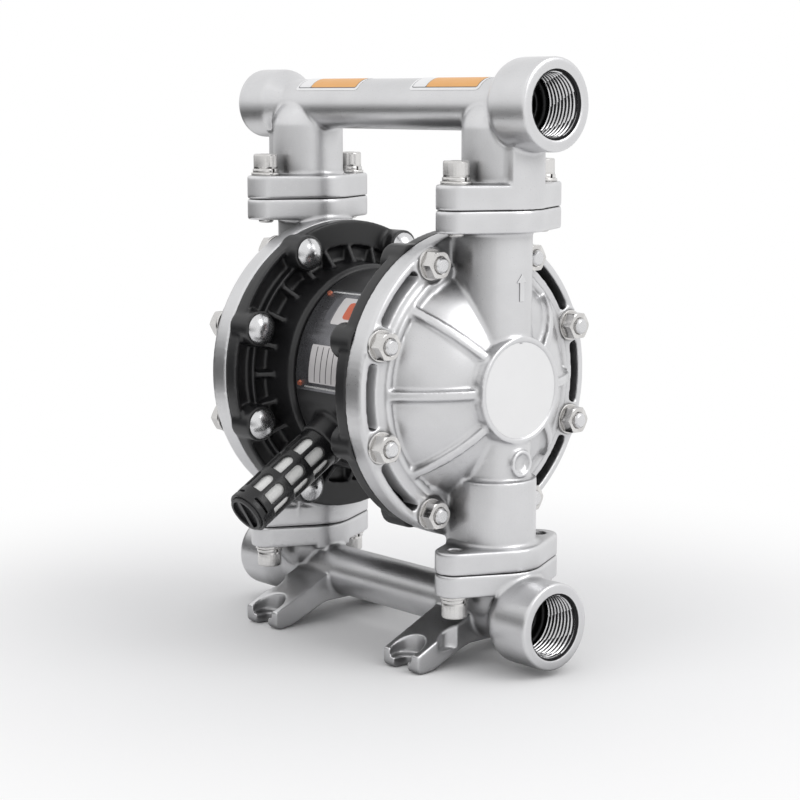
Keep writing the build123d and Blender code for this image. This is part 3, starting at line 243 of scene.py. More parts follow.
def maths(tree, operation, a, b):
    """Math node on two values, each an output socket or a number."""
    made = tree.nodes.new("ShaderNodeMath")
    made.operation = operation
    for place, value in enumerate((a, b)):
        if isinstance(value, (int, float)):
            made.inputs[place].default_value = value
        else:
            tree.links.new(value, made.inputs[place])
    return made.outputs["Value"]


def sum_of_squares(tree, a, b):
    """Sum of the squares of two output sockets."""
    return maths(tree, "ADD", maths(tree, "MULTIPLY", a, a), maths(tree, "MULTIPLY", b, b))


def vector_maths(tree, operation, a, b=(0, 0, 0)):
    """Vector Math node on an output socket and, where the operation takes one, a fixed vector."""
    made = tree.nodes.new("ShaderNodeVectorMath")
    made.operation = operation
    tree.links.new(a, made.inputs[0])
    made.inputs[1].default_value = b
    return made


def blend_colour(tree, factor, a, b):
    """Mix of two colours, each an output socket or a colour, by a factor output."""
    made = tree.nodes.new("ShaderNodeMix")
    made.data_type = "RGBA"
    tree.links.new(factor, made.inputs["Factor"])
    for socket, value in (("A", a), ("B", b)):
        if isinstance(value, tuple):
            made.inputs[socket].default_value = (*value, 1)
        else:
            tree.links.new(value, made.inputs[socket])
    return made.outputs["Result"]


def surface(name, colour, metallic, roughness, tone=0.06, tone_scale=60.0, grain=1500.0,
            grain_depth=0.03, roughness_swing=0.06, edge=0.0):
    """Procedural finish: slow tone drift, fine grain in the bump, and paler edges for wear and a
    painted highlight.
    """
    material = bpy.data.materials.new(name)
    material.use_nodes = True
    tree = material.node_tree
    shader = tree.nodes["Principled BSDF"]
    shader.inputs["Metallic"].default_value = metallic
    coords = tree.nodes.new("ShaderNodeTexCoord")
    drift = noise(tree, coords, tone_scale, 3.0)
    dark = tuple(c * (1 - tone) for c in colour)
    light = tuple(min(1.0, c * (1 + tone)) for c in colour)
    spread = ramp(tree, drift, "Fac", noise_low, noise_high, 0.0, 1.0)
    mixed = blend_colour(tree, spread.outputs["Result"], dark, light)
    # Paler edges where pointiness is high: wear, and a painted highlight along the edges
    if edge:
        geometry = tree.nodes.new("ShaderNodeNewGeometry")
        wear_and_highlight = ramp(tree, geometry, "Pointiness", flat_edge, edge_wear_and_highlight_end, 0.0, 1.0)
        rubbed_and_highlit = tuple(min(1.0, c + edge) for c in colour)
        mixed = blend_colour(tree, wear_and_highlight.outputs["Result"], mixed, rubbed_and_highlit)
    tree.links.new(mixed, shader.inputs["Base Color"])
    fine = noise(tree, coords, grain, 2.0, 0.6)
    smoothest, roughest = roughness - roughness_swing, roughness + roughness_swing
    gloss = ramp(tree, fine, "Fac", noise_low, noise_high, smoothest, roughest)
    tree.links.new(gloss.outputs["Result"], shader.inputs["Roughness"])
    bump = tree.nodes.new("ShaderNodeBump")
    bump.inputs["Strength"].default_value = grain_strength
    bump.inputs["Distance"].default_value = grain_depth * mm
    link(tree, fine, "Fac", bump, "Height")
    link(tree, bump, "Normal", shader, "Normal")
    return material


def recolour(material, factor, colour):
    """Blend a finish's colour towards another one where the factor output is 1."""
    tree = material.node_tree
    base = tree.nodes["Principled BSDF"].inputs["Base Color"]
    mixed = blend_colour(tree, factor, base.links[0].from_socket, colour)
    tree.links.new(mixed, base)


def paint_bore_shade(material, axis_z, port_x, colour):
    """Painted shade inside a pipe: a darker tone within the bore and its port."""
    tree = material.node_tree
    coords = tree.nodes.new("ShaderNodeTexCoord")
    offset = vector_maths(tree, "SUBTRACT", coords.outputs["Object"], (0, 0, axis_z))
    across = vector_maths(tree, "MULTIPLY", offset.outputs["Vector"], (0, 1, 1))
    radius = vector_maths(tree, "LENGTH", across.outputs["Vector"])
    place = tree.nodes.new("ShaderNodeSeparateXYZ")
    link(tree, coords, "Object", place, "Vector")
    in_port = maths(tree, "GREATER_THAN", place.outputs["X"], port_x - port_depth)
    step = maths(tree, "MULTIPLY", in_port, port_major_r - pipe_bore_r)
    reach = maths(tree, "ADD", step, pipe_bore_r + bore_margin)
    inside = maths(tree, "LESS_THAN", radius.outputs["Value"], reach)
    open_part = maths(tree, "GREATER_THAN", place.outputs["X"], bore_end_x)
    recolour(material, maths(tree, "MULTIPLY", inside, open_part), colour)


def rim_groove(tree):
    """1 inside the long slots of the fluid caps' rims, where the casting is dull and raw."""
    coords = tree.nodes.new("ShaderNodeTexCoord")
    place = tree.nodes.new("ShaderNodeSeparateXYZ")
    link(tree, coords, "Object", place, "Vector")
    up = maths(tree, "SUBTRACT", place.outputs["Z"], chamber_z)
    radius = maths(tree, "SQRT", sum_of_squares(tree, place.outputs["Y"], up), 0.0)
    off_middle = maths(tree, "ABSOLUTE", maths(tree, "SUBTRACT", radius, rim_slot_r), 0.0)
    in_band = maths(tree, "LESS_THAN", off_middle, rim_slot_band)
    reach = maths(tree, "ABSOLUTE", place.outputs["X"], 0.0)
    deep = maths(tree, "LESS_THAN", reach, rim_face_x - rim_lip)
    return maths(tree, "MULTIPLY", in_band, deep)


def paint_crevice_shade(material, reach, share):
    """Painted shade in the crevices of a casting: ambient occlusion darkens its colour down to a share
    of its tone.
    """
    tree = material.node_tree
    shader = tree.nodes["Principled BSDF"]
    base = shader.inputs["Base Color"]
    # Painted shade: the base colour darkens where ambient occlusion finds nearby surfaces; the rim
    # slots get none of it and a lower metallic
    crevice = tree.nodes.new("ShaderNodeAmbientOcclusion")
    crevice.samples = crevice_shade_samples
    crevice.inputs["Distance"].default_value = reach
    tree.links.new(base.links[0].from_socket, crevice.inputs["Color"])
    open_air = ramp(tree, crevice, "AO", crevice_shade_shut, crevice_shade_open, share, 1.0)
    groove = rim_groove(tree)
    tree.links.new(maths(tree, "SUBTRACT", cast_metallic, groove), shader.inputs["Metallic"])
    shade = maths(tree, "MAXIMUM", open_air.outputs["Result"], groove)
    shaded = vector_maths(tree, "SCALE", base.links[0].from_socket, (0, 0, 0))
    tree.links.new(shade, shaded.inputs["Scale"])
    tree.links.new(shaded.outputs["Vector"], base)


def turned(name, colour, roughness, scale, depth):
    """Bright machined metal with fine turning marks round X."""
    material = surface(name, colour, 1.0, roughness, tone=0.04, grain=900.0, grain_depth=0.01)
    tree = material.node_tree
    coords = tree.nodes.new("ShaderNodeTexCoord")
    lines = tree.nodes.new("ShaderNodeTexWave")
    lines.bands_direction = "X"
    lines.inputs["Scale"].default_value = scale
    lines.inputs["Distortion"].default_value = turning_distortion
    link(tree, coords, "Object", lines, "Vector")
    bump = tree.nodes.new("ShaderNodeBump")
    bump.inputs["Strength"].default_value = turning_strength
    bump.inputs["Distance"].default_value = depth * mm
    link(tree, lines, "Fac", bump, "Height")
    link(tree, bump, "Normal", tree.nodes["Principled BSDF"], "Normal")
    return material


# Finishes
cast = surface("cast_stainless", steel_grey, cast_metallic, 0.33, tone=0.04, tone_scale=45.0,
               grain=1900.0, grain_depth=0.03, edge=0.12)
# Painted shade inside the outlet and inlet bores
paint_bore_shade(cast, outlet_axis_z, outlet_box[1].x, bore_painted_shade)
paint_bore_shade(cast, inlet_axis_z, inlet_box[1].x, bore_painted_shade)
# Painted shade in the casting's crevices
paint_crevice_shade(cast, crevice_shade_reach, crevice_shade_share)
black = surface("black_moulding", (0.011, 0.011, 0.012), 0.0, 0.34, tone=0.15, grain=2600.0,
                grain_depth=0.015, edge=0.03)
black_cage = surface("black_cage", (0.009, 0.009, 0.010), 0.0, 0.28, tone=0.1, grain=2200.0,
                     grain_depth=0.008, edge=0.02)
polished = surface("polished_steel", (0.68, 0.68, 0.69), 1.0, 0.27, tone=0.03, grain=1200.0,
                   grain_depth=0.004, roughness_swing=0.04)
screw_steel = surface("screw_steel", (0.60, 0.59, 0.58), 1.0, 0.22, tone=0.04, grain=1400.0,
                      grain_depth=0.002, edge=0.12)
bright_thread = turned("thread_steel", (0.70, 0.70, 0.71), 0.25, 700.0, 0.01)
# Near-black finish for the thread roots: painted shade between the crests
thread_root_shade = turned("thread_root", (0.04, 0.04, 0.042), 0.45, 700.0, 0.01)
rubber = surface("seal_rubber", (0.015, 0.015, 0.016), 0.0, 0.55, tone=0.1)
fluoropolymer = surface("white_fluoropolymer", (0.82, 0.82, 0.79), 0.0, 0.38, tone=0.02)
aluminium = surface("plate_aluminium", (0.66, 0.67, 0.68), 1.0, 0.34, tone=0.04)
brass = surface("bush_brass", (0.60, 0.42, 0.16), 1.0, 0.30, tone=0.06)
ground = surface("ground_steel", (0.66, 0.66, 0.67), 1.0, 0.18, tone=0.03)
disc = surface("blank_disc", (0.80, 0.80, 0.80), 0.1, 0.45, tone=0.01, grain=2200.0,
               grain_depth=0.004)
foil = surface("label_foil", (0.16, 0.16, 0.17), 0.8, 0.30, tone=0.20, tone_scale=90.0,
               grain_depth=0.006)
foil_pale = surface("plate_field", (0.62, 0.60, 0.60), 0.4, 0.35, tone=0.05, grain_depth=0.006)
foil_line = surface("plate_line", (0.70, 0.70, 0.70), 0.9, 0.28, tone=0.03, grain_depth=0.004)
foil_dark = surface("plate_dark", (0.03, 0.03, 0.035), 0.1, 0.40, tone=0.05, grain_depth=0.004)
foil_red = surface("plate_red", (0.62, 0.13, 0.06), 0.1, 0.40, tone=0.08, grain_depth=0.004)
foil_grey = surface("plate_grey", (0.11, 0.11, 0.12), 0.3, 0.40, tone=0.08, grain_depth=0.004)
red = surface("red_rivet", (0.50, 0.16, 0.10), 0.7, 0.28, tone=0.08)
filter_white = surface("filter_white", (0.90, 0.90, 0.88), 0.0, 0.75, tone=0.05, tone_scale=900.0,
                       grain=1600.0, grain_depth=0.12)
label_white = surface("label_white", (0.88, 0.88, 0.88), 0.0, 0.40, tone=0.02, grain_depth=0.004)
label_orange = surface("label_orange", (0.85, 0.43, 0.13), 0.0, 0.40, tone=0.03,
                       grain_depth=0.004)
label_line = surface("label_line", (0.10, 0.10, 0.11), 0.0, 0.45, tone=0.05, grain_depth=0.004)

finish_of_slot = {
    "cast_stainless": cast,
    "black_plastic": black,
    "polished_steel": polished,
    "screw_steel": screw_steel,
    "seal_rubber": rubber,
    "white_fluoropolymer": fluoropolymer,
    "plate_aluminium": aluminium,
    "bush_brass": brass,
    "ground_steel": ground,
    "blank_disc": disc,
    "label_foil": foil,
    "red_rivet": red,
    "filter_white": filter_white,
}


def paint(name, material):
    """Give a node one material in place of its imported ones."""
    data = nodes[name].data
    data.materials.clear()
    data.materials.append(material)


for part in frame["record"]["subparts"]:
    paint(part["node"], finish_of_slot[part["material_slot"]])
paint("muffler_cage", black_cage)
paint("muffler_end_cap", black_cage)


# Modifiers on the solids

def modifier_group(name):
    """Empty geometry node group with its geometry input and output."""
    group = bpy.data.node_groups.new(name, "GeometryNodeTree")
    group.interface.new_socket("Geometry", in_out="INPUT", socket_type="NodeSocketGeometry")
    group.interface.new_socket("Geometry", in_out="OUTPUT", socket_type="NodeSocketGeometry")
    return group, group.nodes.new("NodeGroupInput"), group.nodes.new("NodeGroupOutput")


def concave_fill(rounds):
    """Geometry nodes that round inside corners as a casting has them, and leave outside edges."""
    group, entry, leave = modifier_group("concave_fill")
    position = group.nodes.new("GeometryNodeInputPosition")
    normal = group.nodes.new("GeometryNodeInputNormal")
    blur = group.nodes.new("GeometryNodeBlurAttribute")
    blur.data_type = "FLOAT_VECTOR"
    blur.inputs["Iterations"].default_value = rounds
    offset = group.nodes.new("ShaderNodeVectorMath")
    offset.operation = "SUBTRACT"
    outward = group.nodes.new("ShaderNodeVectorMath")
    outward.operation = "DOT_PRODUCT"
    share = group.nodes.new("ShaderNodeMapRange")
    share.inputs["From Min"].default_value = 0.0
    share.inputs["From Max"].default_value = fill_depth
    share.inputs["To Min"].default_value = fill_least
    share.inputs["To Max"].default_value = 1.0
    scaled = group.nodes.new("ShaderNodeVectorMath")
    scaled.operation = "SCALE"
    place = group.nodes.new("GeometryNodeSetPosition")
    blur_value = [s for s in blur.inputs if s.name == "Value" and s.enabled][0]
    blur_result = [s for s in blur.outputs if s.name == "Value" and s.enabled][0]
    group.links.new(position.outputs["Position"], blur_value)
    group.links.new(blur_result, offset.inputs[0])
    group.links.new(position.outputs["Position"], offset.inputs[1])
    group.links.new(offset.outputs["Vector"], outward.inputs[0])
    group.links.new(normal.outputs["Normal"], outward.inputs[1])
    group.links.new(outward.outputs["Value"], share.inputs["Value"])
    group.links.new(offset.outputs["Vector"], scaled.inputs[0])
    group.links.new(share.outputs["Result"], scaled.inputs["Scale"])
    group.links.new(entry.outputs["Geometry"], place.inputs["Geometry"])
    group.links.new(scaled.outputs["Vector"], place.inputs["Offset"])
    group.links.new(place.outputs["Geometry"], leave.inputs["Geometry"])
    return group


def circle_through(a, b, c):
    """Centre and radius of the circle through three points of a plane."""
    spread = 2 * (a[0] * (b[1] - c[1]) + b[0] * (c[1] - a[1]) + c[0] * (a[1] - b[1]))
    squares = [p[0] ** 2 + p[1] ** 2 for p in (a, b, c)]
    u = squares[0] * (b[1] - c[1]) + squares[1] * (c[1] - a[1]) + squares[2] * (a[1] - b[1])
    v = squares[0] * (c[0] - b[0]) + squares[1] * (a[0] - c[0]) + squares[2] * (b[0] - a[0])
    centre = (u / spread, v / spread)
    return centre, math.dist(centre, a)


def rib_trim():
    """Geometry nodes that cut the domes' ribs to their width, back to the surface under them."""
    group, entry, leave = modifier_group("rib_trim")
    position = group.nodes.new("GeometryNodeInputPosition")
    place = group.nodes.new("ShaderNodeSeparateXYZ")
    link(group, position, "Position", place, "Vector")
    x, y, z = (place.outputs[axis] for axis in "XYZ")
    reach = maths(group, "ABSOLUTE", x, 0.0)
    aside = maths(group, "ABSOLUTE", y, 0.0)
    up = maths(group, "SUBTRACT", z, chamber_z)
    radius = maths(group, "SQRT", sum_of_squares(group, y, up), 0.0)

    # Dome, rim ledge, bolt bosses and column under the ribs
    (centre_r, centre_x), dome_arc_r = circle_through(*dome_points)
    from_centre = maths(group, "SUBTRACT", radius, centre_r)
    arc = maths(group, "SUBTRACT", dome_arc_r ** 2, maths(group, "MULTIPLY", from_centre, from_centre))
    arc = maths(group, "SQRT", maths(group, "MAXIMUM", arc, 0.0), 0.0)
    dome = maths(group, "ADD", arc, centre_x)
    ledge = ramp(group, radius.node, "Value", ledge_r, ledge_r + rib_fade, dome_base_x, ledge_x)
    across = maths(group, "SUBTRACT", aside, side_bolt_y)
    along = maths(group, "SUBTRACT", maths(group, "ABSOLUTE", up, 0.0), side_bolt_z)
    boss = maths(group, "LESS_THAN", sum_of_squares(group, across, along), side_bolt_boss_r ** 2)
    boss = maths(group, "MULTIPLY", boss, ledge_x)
    lower = maths(group, "LESS_THAN", z, lower_column_top_z)
    half = maths(group, "ADD", maths(group, "MULTIPLY", lower, lower_column_r - upper_column_r),
                 upper_column_r)
    flank = maths(group, "SUBTRACT", maths(group, "MULTIPLY", half, half),
                  maths(group, "MULTIPLY", y, y))
    flank = maths(group, "SQRT", maths(group, "MAXIMUM", flank, 0.0), 0.0)
    column = maths(group, "ADD", flank, column_front_x - upper_column_r)
    column = maths(group, "MULTIPLY", column, maths(group, "LESS_THAN", aside, half))
    under = maths(group, "MAXIMUM", dome, ledge.outputs["Result"])
    under = maths(group, "MAXIMUM", under, maths(group, "MAXIMUM", boss, column))

    # Bands beside the ribs, between the hub and the rim
    bands = 0.0
    for angle in rib_angles:
        for sign in (1, -1):
            lean = math.radians(sign * angle)
            side = maths(group, "ADD", maths(group, "MULTIPLY", y, -math.cos(lean)),
                         maths(group, "MULTIPLY", up, math.sin(lean)))
            outward = maths(group, "ADD", maths(group, "MULTIPLY", y, math.sin(lean)),
                            maths(group, "MULTIPLY", up, math.cos(lean)))
            band = ramp(group, side.node, "Value", rib_half_width, rib_half_width + rib_fade, 0.0, 1.0)
            near = maths(group, "LESS_THAN", side, rib_reach)
            near = maths(group, "MULTIPLY", near, maths(group, "GREATER_THAN", outward, rib_start))
            band = maths(group, "MULTIPLY", band.outputs["Result"], near)
            bands = maths(group, "MAXIMUM", band, bands)
    off_hub = ramp(group, radius.node, "Value", hub_r + hub_fade_start, hub_r + hub_fade_end, 0.0, 1.0)
    within = maths(group, "LESS_THAN", radius, ledge_r + rib_overrun)
    bands = maths(group, "MULTIPLY", bands, maths(group, "MULTIPLY", off_hub.outputs["Result"], within))
    above = maths(group, "MAXIMUM", maths(group, "SUBTRACT", reach, under), 0.0)
    back = maths(group, "MULTIPLY", maths(group, "MULTIPLY", above, bands), -1.0)
    offset = group.nodes.new("ShaderNodeCombineXYZ")
    group.links.new(maths(group, "MULTIPLY", back, maths(group, "SIGN", x, 0.0)), offset.inputs["X"])
    moved = group.nodes.new("GeometryNodeSetPosition")
    link(group, entry, "Geometry", moved, "Geometry")
    link(group, offset, "Vector", moved, "Offset")
    link(group, moved, "Geometry", leave, "Geometry")
    return group


fill_group = concave_fill(fill_rounds)
trim_group = rib_trim()


def voxel_remesh(o, name, voxel):
    """Remesh with small even cells."""
    remesh = o.modifiers.new(name, "REMESH")
    remesh.mode = "VOXEL"
    remesh.voxel_size = voxel
    remesh.use_smooth_shade = True


def soften(name, voxel, rounds, fill=True, trim=False):
    """Round a cast or moulded node's edges by remeshing it finely and relaxing the mesh."""
    o = nodes[name]
    voxel_remesh(o, "remesh", voxel)
    if trim:
        trimmer = o.modifiers.new("rib_trim", "NODES")
        trimmer.node_group = trim_group
        voxel_remesh(o, "remesh_trimmed", voxel)
    relax = o.modifiers.new("relax", "SMOOTH")
    relax.factor = 0.5
    relax.iterations = rounds
    if fill:
        filler = o.modifiers.new("fill", "NODES")
        filler.node_group = fill_group


def bevel(o, width, segments=2):
    """Small edge break on a piece with sharp edges."""
    weld = o.modifiers.new("weld", "WELD")
    weld.merge_threshold = weld_distance
    edge = o.modifiers.new("bevel", "BEVEL")
    edge.width = width
    edge.segments = segments
    edge.limit_method = "ANGLE"
    edge.angle_limit = math.radians(bevel_angle)
    edge.harden_normals = True


for name in ("fluid_cap_right", "fluid_cap_left"):
    soften(name, casting_voxel, relax_rounds, trim=True)
for name in ("outlet_manifold", "inlet_manifold"):
    soften(name, casting_voxel, relax_rounds)
for name in ("air_cap_right", "air_cap_left", "center_body"):
    soften(name, moulding_voxel, relax_rounds)
soften("muffler_cage", cage_voxel, cage_relax_rounds, fill=False)
for name, width in (
    ("clamp_nuts_right", 0.25), ("clamp_nuts_left", 0.25),
    ("clamp_washers_right", 0.25), ("clamp_washers_left", 0.25),
    ("clamp_bolts_right", 0.3), ("clamp_bolts_left", 0.3),
    ("outlet_flange_screws", 0.3), ("inlet_flange_screws", 0.3),
    ("flange_flat_washers", 0.2), ("flange_lock_washers", 0.2),
    ("hub_disc_right", 0.15), ("hub_disc_left", 0.15),
    ("muffler_end_cap", 0.3), ("nameplate", 0.1),
    ("valve_block", 0.5), ("valve_end_cap_right", 0.3), ("valve_end_cap_left", 0.3),
    ("valve_screws", 0.2),
):
    bevel(nodes[name], width * mm)


# Pieces that are added to the solids

def new_object(name, data):
    """Object for a mesh, a lamp or a camera, put in the scene."""
    o = bpy.data.objects.new(name, data)
    bpy.context.scene.collection.objects.link(o)
    return o


def new_piece(name, vertices, faces, material, smooth=True):
    """Mesh object that rides on the pump's body and takes the given finish."""
    data = bpy.data.meshes.new(name)
    data.from_pydata([tuple(v) for v in vertices], [], faces)
    data.validate()
    for polygon in data.polygons:
        polygon.use_smooth = smooth
    data.materials.append(material)
    o = new_object(name, data)
    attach(o, "pump_body")
    return o


def grid_faces(rows, columns, wrap_rows=False, wrap_columns=False, first=0):
    """Quads over a grid of rows times columns vertices, numbered from the first one."""
    row_steps = rows if wrap_rows else rows - 1
    column_steps = columns if wrap_columns else columns - 1
    return [
        (
            first + i * columns + j,
            first + i * columns + (j + 1) % columns,
            first + ((i + 1) % rows) * columns + (j + 1) % columns,
            first + ((i + 1) % rows) * columns + j,
        )
        for i in range(row_steps)
        for j in range(column_steps)
    ]


def ring(centre, side, up, radius_at, turns):
    """Points round a centre, at a radius that depends on the share of a turn."""
    return [
        centre
        + side * radius_at(j / turns) * math.cos(2 * math.pi * j / turns)
        + up * radius_at(j / turns) * math.sin(2 * math.pi * j / turns)
        for j in range(turns)
    ]


def female_thread(name, mouth, inward, side, major_r, minor_r, pitch, length):
    """Closed sleeve whose inside is a helical thread, from the mouth inwards."""
    turns = thread_columns
    steps = int(length / pitch * thread_rows_per_pitch)
    up = inward.cross(side)
    outer_r = major_r * thread_sleeve_share
    vertices = []
    for i in range(steps + 1):
        along = length * i / steps

        def thread_r(turn):
            phase = (along / pitch - turn) % 1.0
            flank = min(1.0, abs(2 * phase - 1) * thread_flank_share)
            full = minor_r + (major_r - minor_r) * flank
            return outer_r - (outer_r - full) * min(1.0, along / pitch)

        vertices += ring(mouth + inward * along, side, up, thread_r, turns)
    for along in (length, 0.0):
        vertices += ring(mouth + inward * along, side, up, lambda turn: major_r, turns)
    faces = grid_faces(steps + 3, turns, wrap_rows=True, wrap_columns=True)
    o = new_piece(name, vertices, faces, bright_thread)
    o.data.materials.append(thread_root_shade)
    # Roots of the thread take the painted-shade finish
    root_r = minor_r + thread_root_share * (major_r - minor_r)
    for polygon in o.data.polygons:
        radial = polygon.center - mouth
        radial -= inward * radial.dot(inward)
        if radial.length > root_r:
            polygon.material_index = 1


for name, box, axis_z in (("outlet", outlet_box, outlet_axis_z), ("inlet", inlet_box, inlet_axis_z)):
    female_thread(
        f"{name}_port_thread", Vector((box[1].x - port_lip, 0, axis_z)), -x_axis, y_axis,
        port_major_r, port_minor_r, port_pitch, port_thread_length,
    )
female_thread(
    "air_inlet_thread", Vector((0, valve_box[1].y - air_lip, chamber_z)), -y_axis, z_axis,
    air_major_r, air_minor_r, air_pitch, air_thread_length,
)


def bolt_threads(name, side):
    """Thread crests on the clamp bolt ends that stand out of the nuts."""
    start = nut_box[1].x - clamp_thread_start
    length = bolt_box[1].x - clamp_tip_chamfer - start
    core_r = clamp_bolt_r * clamp_core_share
    turns, steps = clamp_thread_columns, clamp_thread_rows
    vertices = []
    faces = []
    for sign in (1, -1):
        for angle in clamp_angles:
            y = sign * clamp_circle_r * math.sin(math.radians(angle))
            z = chamber_z + clamp_circle_r * math.cos(math.radians(angle))
            first = len(vertices)
            for i in range(steps + 1):
                along = length * i / steps

                def crest_r(turn):
                    phase = (along / clamp_pitch - turn) % 1.0
                    return clamp_bolt_r - clamp_thread_sink + clamp_crest * (1 - abs(2 * phase - 1))

                centre = Vector((side * (start + along), y, z))
                vertices += ring(centre, y_axis, z_axis, crest_r, turns)
            for along in (length, 0.0):
                centre = Vector((side * (start + along), y, z))
                vertices += ring(centre, y_axis, z_axis, lambda turn: core_r, turns)
            faces += grid_faces(steps + 3, turns, True, True, first)
    new_piece(name, vertices, faces, screw_steel)


bolt_threads("clamp_bolt_threads_right", 1)
bolt_threads("clamp_bolt_threads_left", -1)


def head_knurl(name, low_z):
    """Fine upright ridges round the four socket heads of one manifold."""
    box = screw_boxes[name]
    turns = knurl_count * knurl_points
    core_r = flange_head_r - knurl_core_depth
    column_x = box[1].x - flange_head_r
    screw_y = box[1].y - flange_head_r
    vertices = []
    faces = []

    def ridge_r(turn):
        phase = (turn * knurl_count) % 1.0
        return flange_head_r - knurl_sink + knurl_relief * (1 - abs(2 * phase - 1))

    for x in (column_x, -column_x):
        for y in (screw_y, -screw_y):
            first = len(vertices)
            low = Vector((x, y, low_z + knurl_margin))
            high = Vector((x, y, low_z + flange_head_height - knurl_margin))
            vertices += ring(low, x_axis, y_axis, lambda turn: core_r, turns)
            vertices += ring(low, x_axis, y_axis, ridge_r, turns)
            vertices += ring(high, x_axis, y_axis, ridge_r, turns)
            vertices += ring(high, x_axis, y_axis, lambda turn: core_r, turns)
            faces += grid_faces(4, turns, True, True, first)
    new_piece(f"{name}_screw_knurl", vertices, faces, screw_steel, smooth=False)


head_knurl("outlet", screw_boxes["outlet"][1].z - flange_head_height)
head_knurl("inlet", screw_boxes["inlet"][0].z)


def bending_diaphragm(node):
    """A diaphragm cut into wedges, each of which runs from the clamped rim to the moving plates."""
    slot = [part["material_slot"] for part in frame["record"]["subparts"] if part["node"] == node][0]
    half_wedge = math.pi / wedge_count
    for k in range(wedge_count):
        middle = 2 * half_wedge * k
        wedge = bmesh.new()
        wedge.from_mesh(nodes[node].data)
        bmesh.ops.remove_doubles(wedge, verts=wedge.verts, dist=merge_distance)
        for sign in (1, -1):
            turn = middle + sign * half_wedge
            cut = bmesh.ops.bisect_plane(
                wedge,
                geom=wedge.verts[:] + wedge.edges[:] + wedge.faces[:],
                dist=merge_distance,
                plane_co=(0, 0, chamber_z),
                plane_no=(0, -sign * math.sin(turn), sign * math.cos(turn)),
                clear_outer=True,
            )
            rim = [e for e in cut["geom_cut"] if isinstance(e, bmesh.types.BMEdge)]
            bmesh.ops.holes_fill(wedge, edges=rim, sides=0)
        bmesh.ops.recalc_face_normals(wedge, faces=wedge.faces)
        name = f"{node}_wedge_{k}"
        data = bpy.data.meshes.new(name)
        wedge.to_mesh(data)
        wedge.free()
        data.materials.clear()
        data.materials.append(finish_of_slot[slot])
        for polygon in data.polygons:
            polygon.material_index = 0
        o = new_object(name, data)
        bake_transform(o)
        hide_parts(node)


bending_diaphragm("diaphragm_right")
bending_diaphragm("diaphragm_left")


def cast_arrow(name, side):
    """Raised flow arrow on the front of an upper column."""
    half = arrow_width / 2
    shaft = arrow_shaft_width / 2
    neck = arrow_height - arrow_head_height
    outline = [(-shaft, 0), (0, 0), (shaft, 0), (shaft, neck), (half, neck), (0, arrow_height),
               (-half, neck), (-shaft, neck)]
    points = outline + [(0, neck)]
    upper = [(0, 1, 8, 7), (1, 2, 3, 8), (3, 4, 5), (3, 5, 8), (8, 5, 7), (7, 5, 6)]
    centre_x = column_front_x - upper_column_r
    vertices = []
    for rise in (arrow_relief, -arrow_root):
        for y, z in points:
            reach = centre_x + math.sqrt((upper_column_r + rise) ** 2 - y ** 2)
            vertices.append((side * reach, side * y, arrow_bottom_z + z))
    count = len(points)
    faces = list(upper)
    faces += [tuple(reversed([count + k for k in face])) for face in upper]
    for k in range(len(outline)):
        after = (k + 1) % len(outline)
        faces.append((after, k, count + k, count + after))
    o = new_piece(name, vertices, faces, cast, smooth=False)
    bevel(o, arrow_edge, 3)


cast_arrow("flow_arrow_right", 1)
cast_arrow("flow_arrow_left", -1)


def bent_patch(name, x0, x1, angle0, angle1, axis_z, radius, thickness, material, corner):
    """Thin patch bent round an X axis. Angles run from the top towards the front."""
    across, along = patch_rows, patch_columns
    height = math.radians(angle1 - angle0) * radius
    vertices = []
    for layer in (0, 1):
        r = radius + layer * thickness
        for i in range(across + 1):
            t = i / across
            angle = math.radians(angle0 + (angle1 - angle0) * t)
            from_end = min(t, 1 - t) * height
            short = max(0.0, corner - from_end)
            inset = corner - math.sqrt(max(0.0, corner ** 2 - short ** 2))
            for j in range(along + 1):
                x = x0 + inset + (x1 - x0 - 2 * inset) * j / along
                vertices.append((x, -r * math.sin(angle), axis_z + r * math.cos(angle)))
    count = (across + 1) * (along + 1)
    row = along + 1
    faces = []
    for i in range(across):
        for j in range(along):
            a = i * row + j
            faces.append((a, a + row, a + row + 1, a + 1))
            faces.append((count + a, count + a + 1, count + a + row + 1, count + a + row))
    border = list(range(row))
    border += [i * row + along for i in range(1, across + 1)]
    border += [across * row + j for j in range(along - 1, -1, -1)]
    border += [i * row for i in range(across - 1, 0, -1)]
    for k, a in enumerate(border):
        b = border[(k + 1) % len(border)]
        faces.append((a, b, count + b, count + a))
    new_piece(name, vertices, faces, material, smooth=False)


def pipe_label(place, start):
    """Blank sticker on the upper pipe: white paper, a thin frame, a box and an orange field."""
    end = start + label_length
    box_end = start + label_box_length
    over_frame = paper + print_height
    level = pipe_r + label_gap

    # Start and end along X, first and last angle, rise, thickness, finish and corner radius
    layers = {
        "paper": (start, end, -6, 58, 0.0, paper, label_white, 1.5),
        "frame": (start + 1.4 * mm, end - 1.6 * mm, 2, 51.5, paper, print_height, label_line, 0.8),
        "box": (start + 1.8 * mm, box_end, 4, 49.5, over_frame, print_height, label_white, 0.5),
        "field": (box_end + 0.4 * mm, end - 2.0 * mm, 4, 49.5, over_frame, print_height,
                  label_orange, 0.4),
    }
    for part, (x0, x1, angle0, angle1, rise, thickness, material, corner) in layers.items():
        bent_patch(
            f"label_{place}_{part}", x0, x1, angle0, angle1, outlet_axis_z, level + rise,
            thickness, material, corner * mm,
        )


for place, start in label_starts.items():
    pipe_label(place, start)


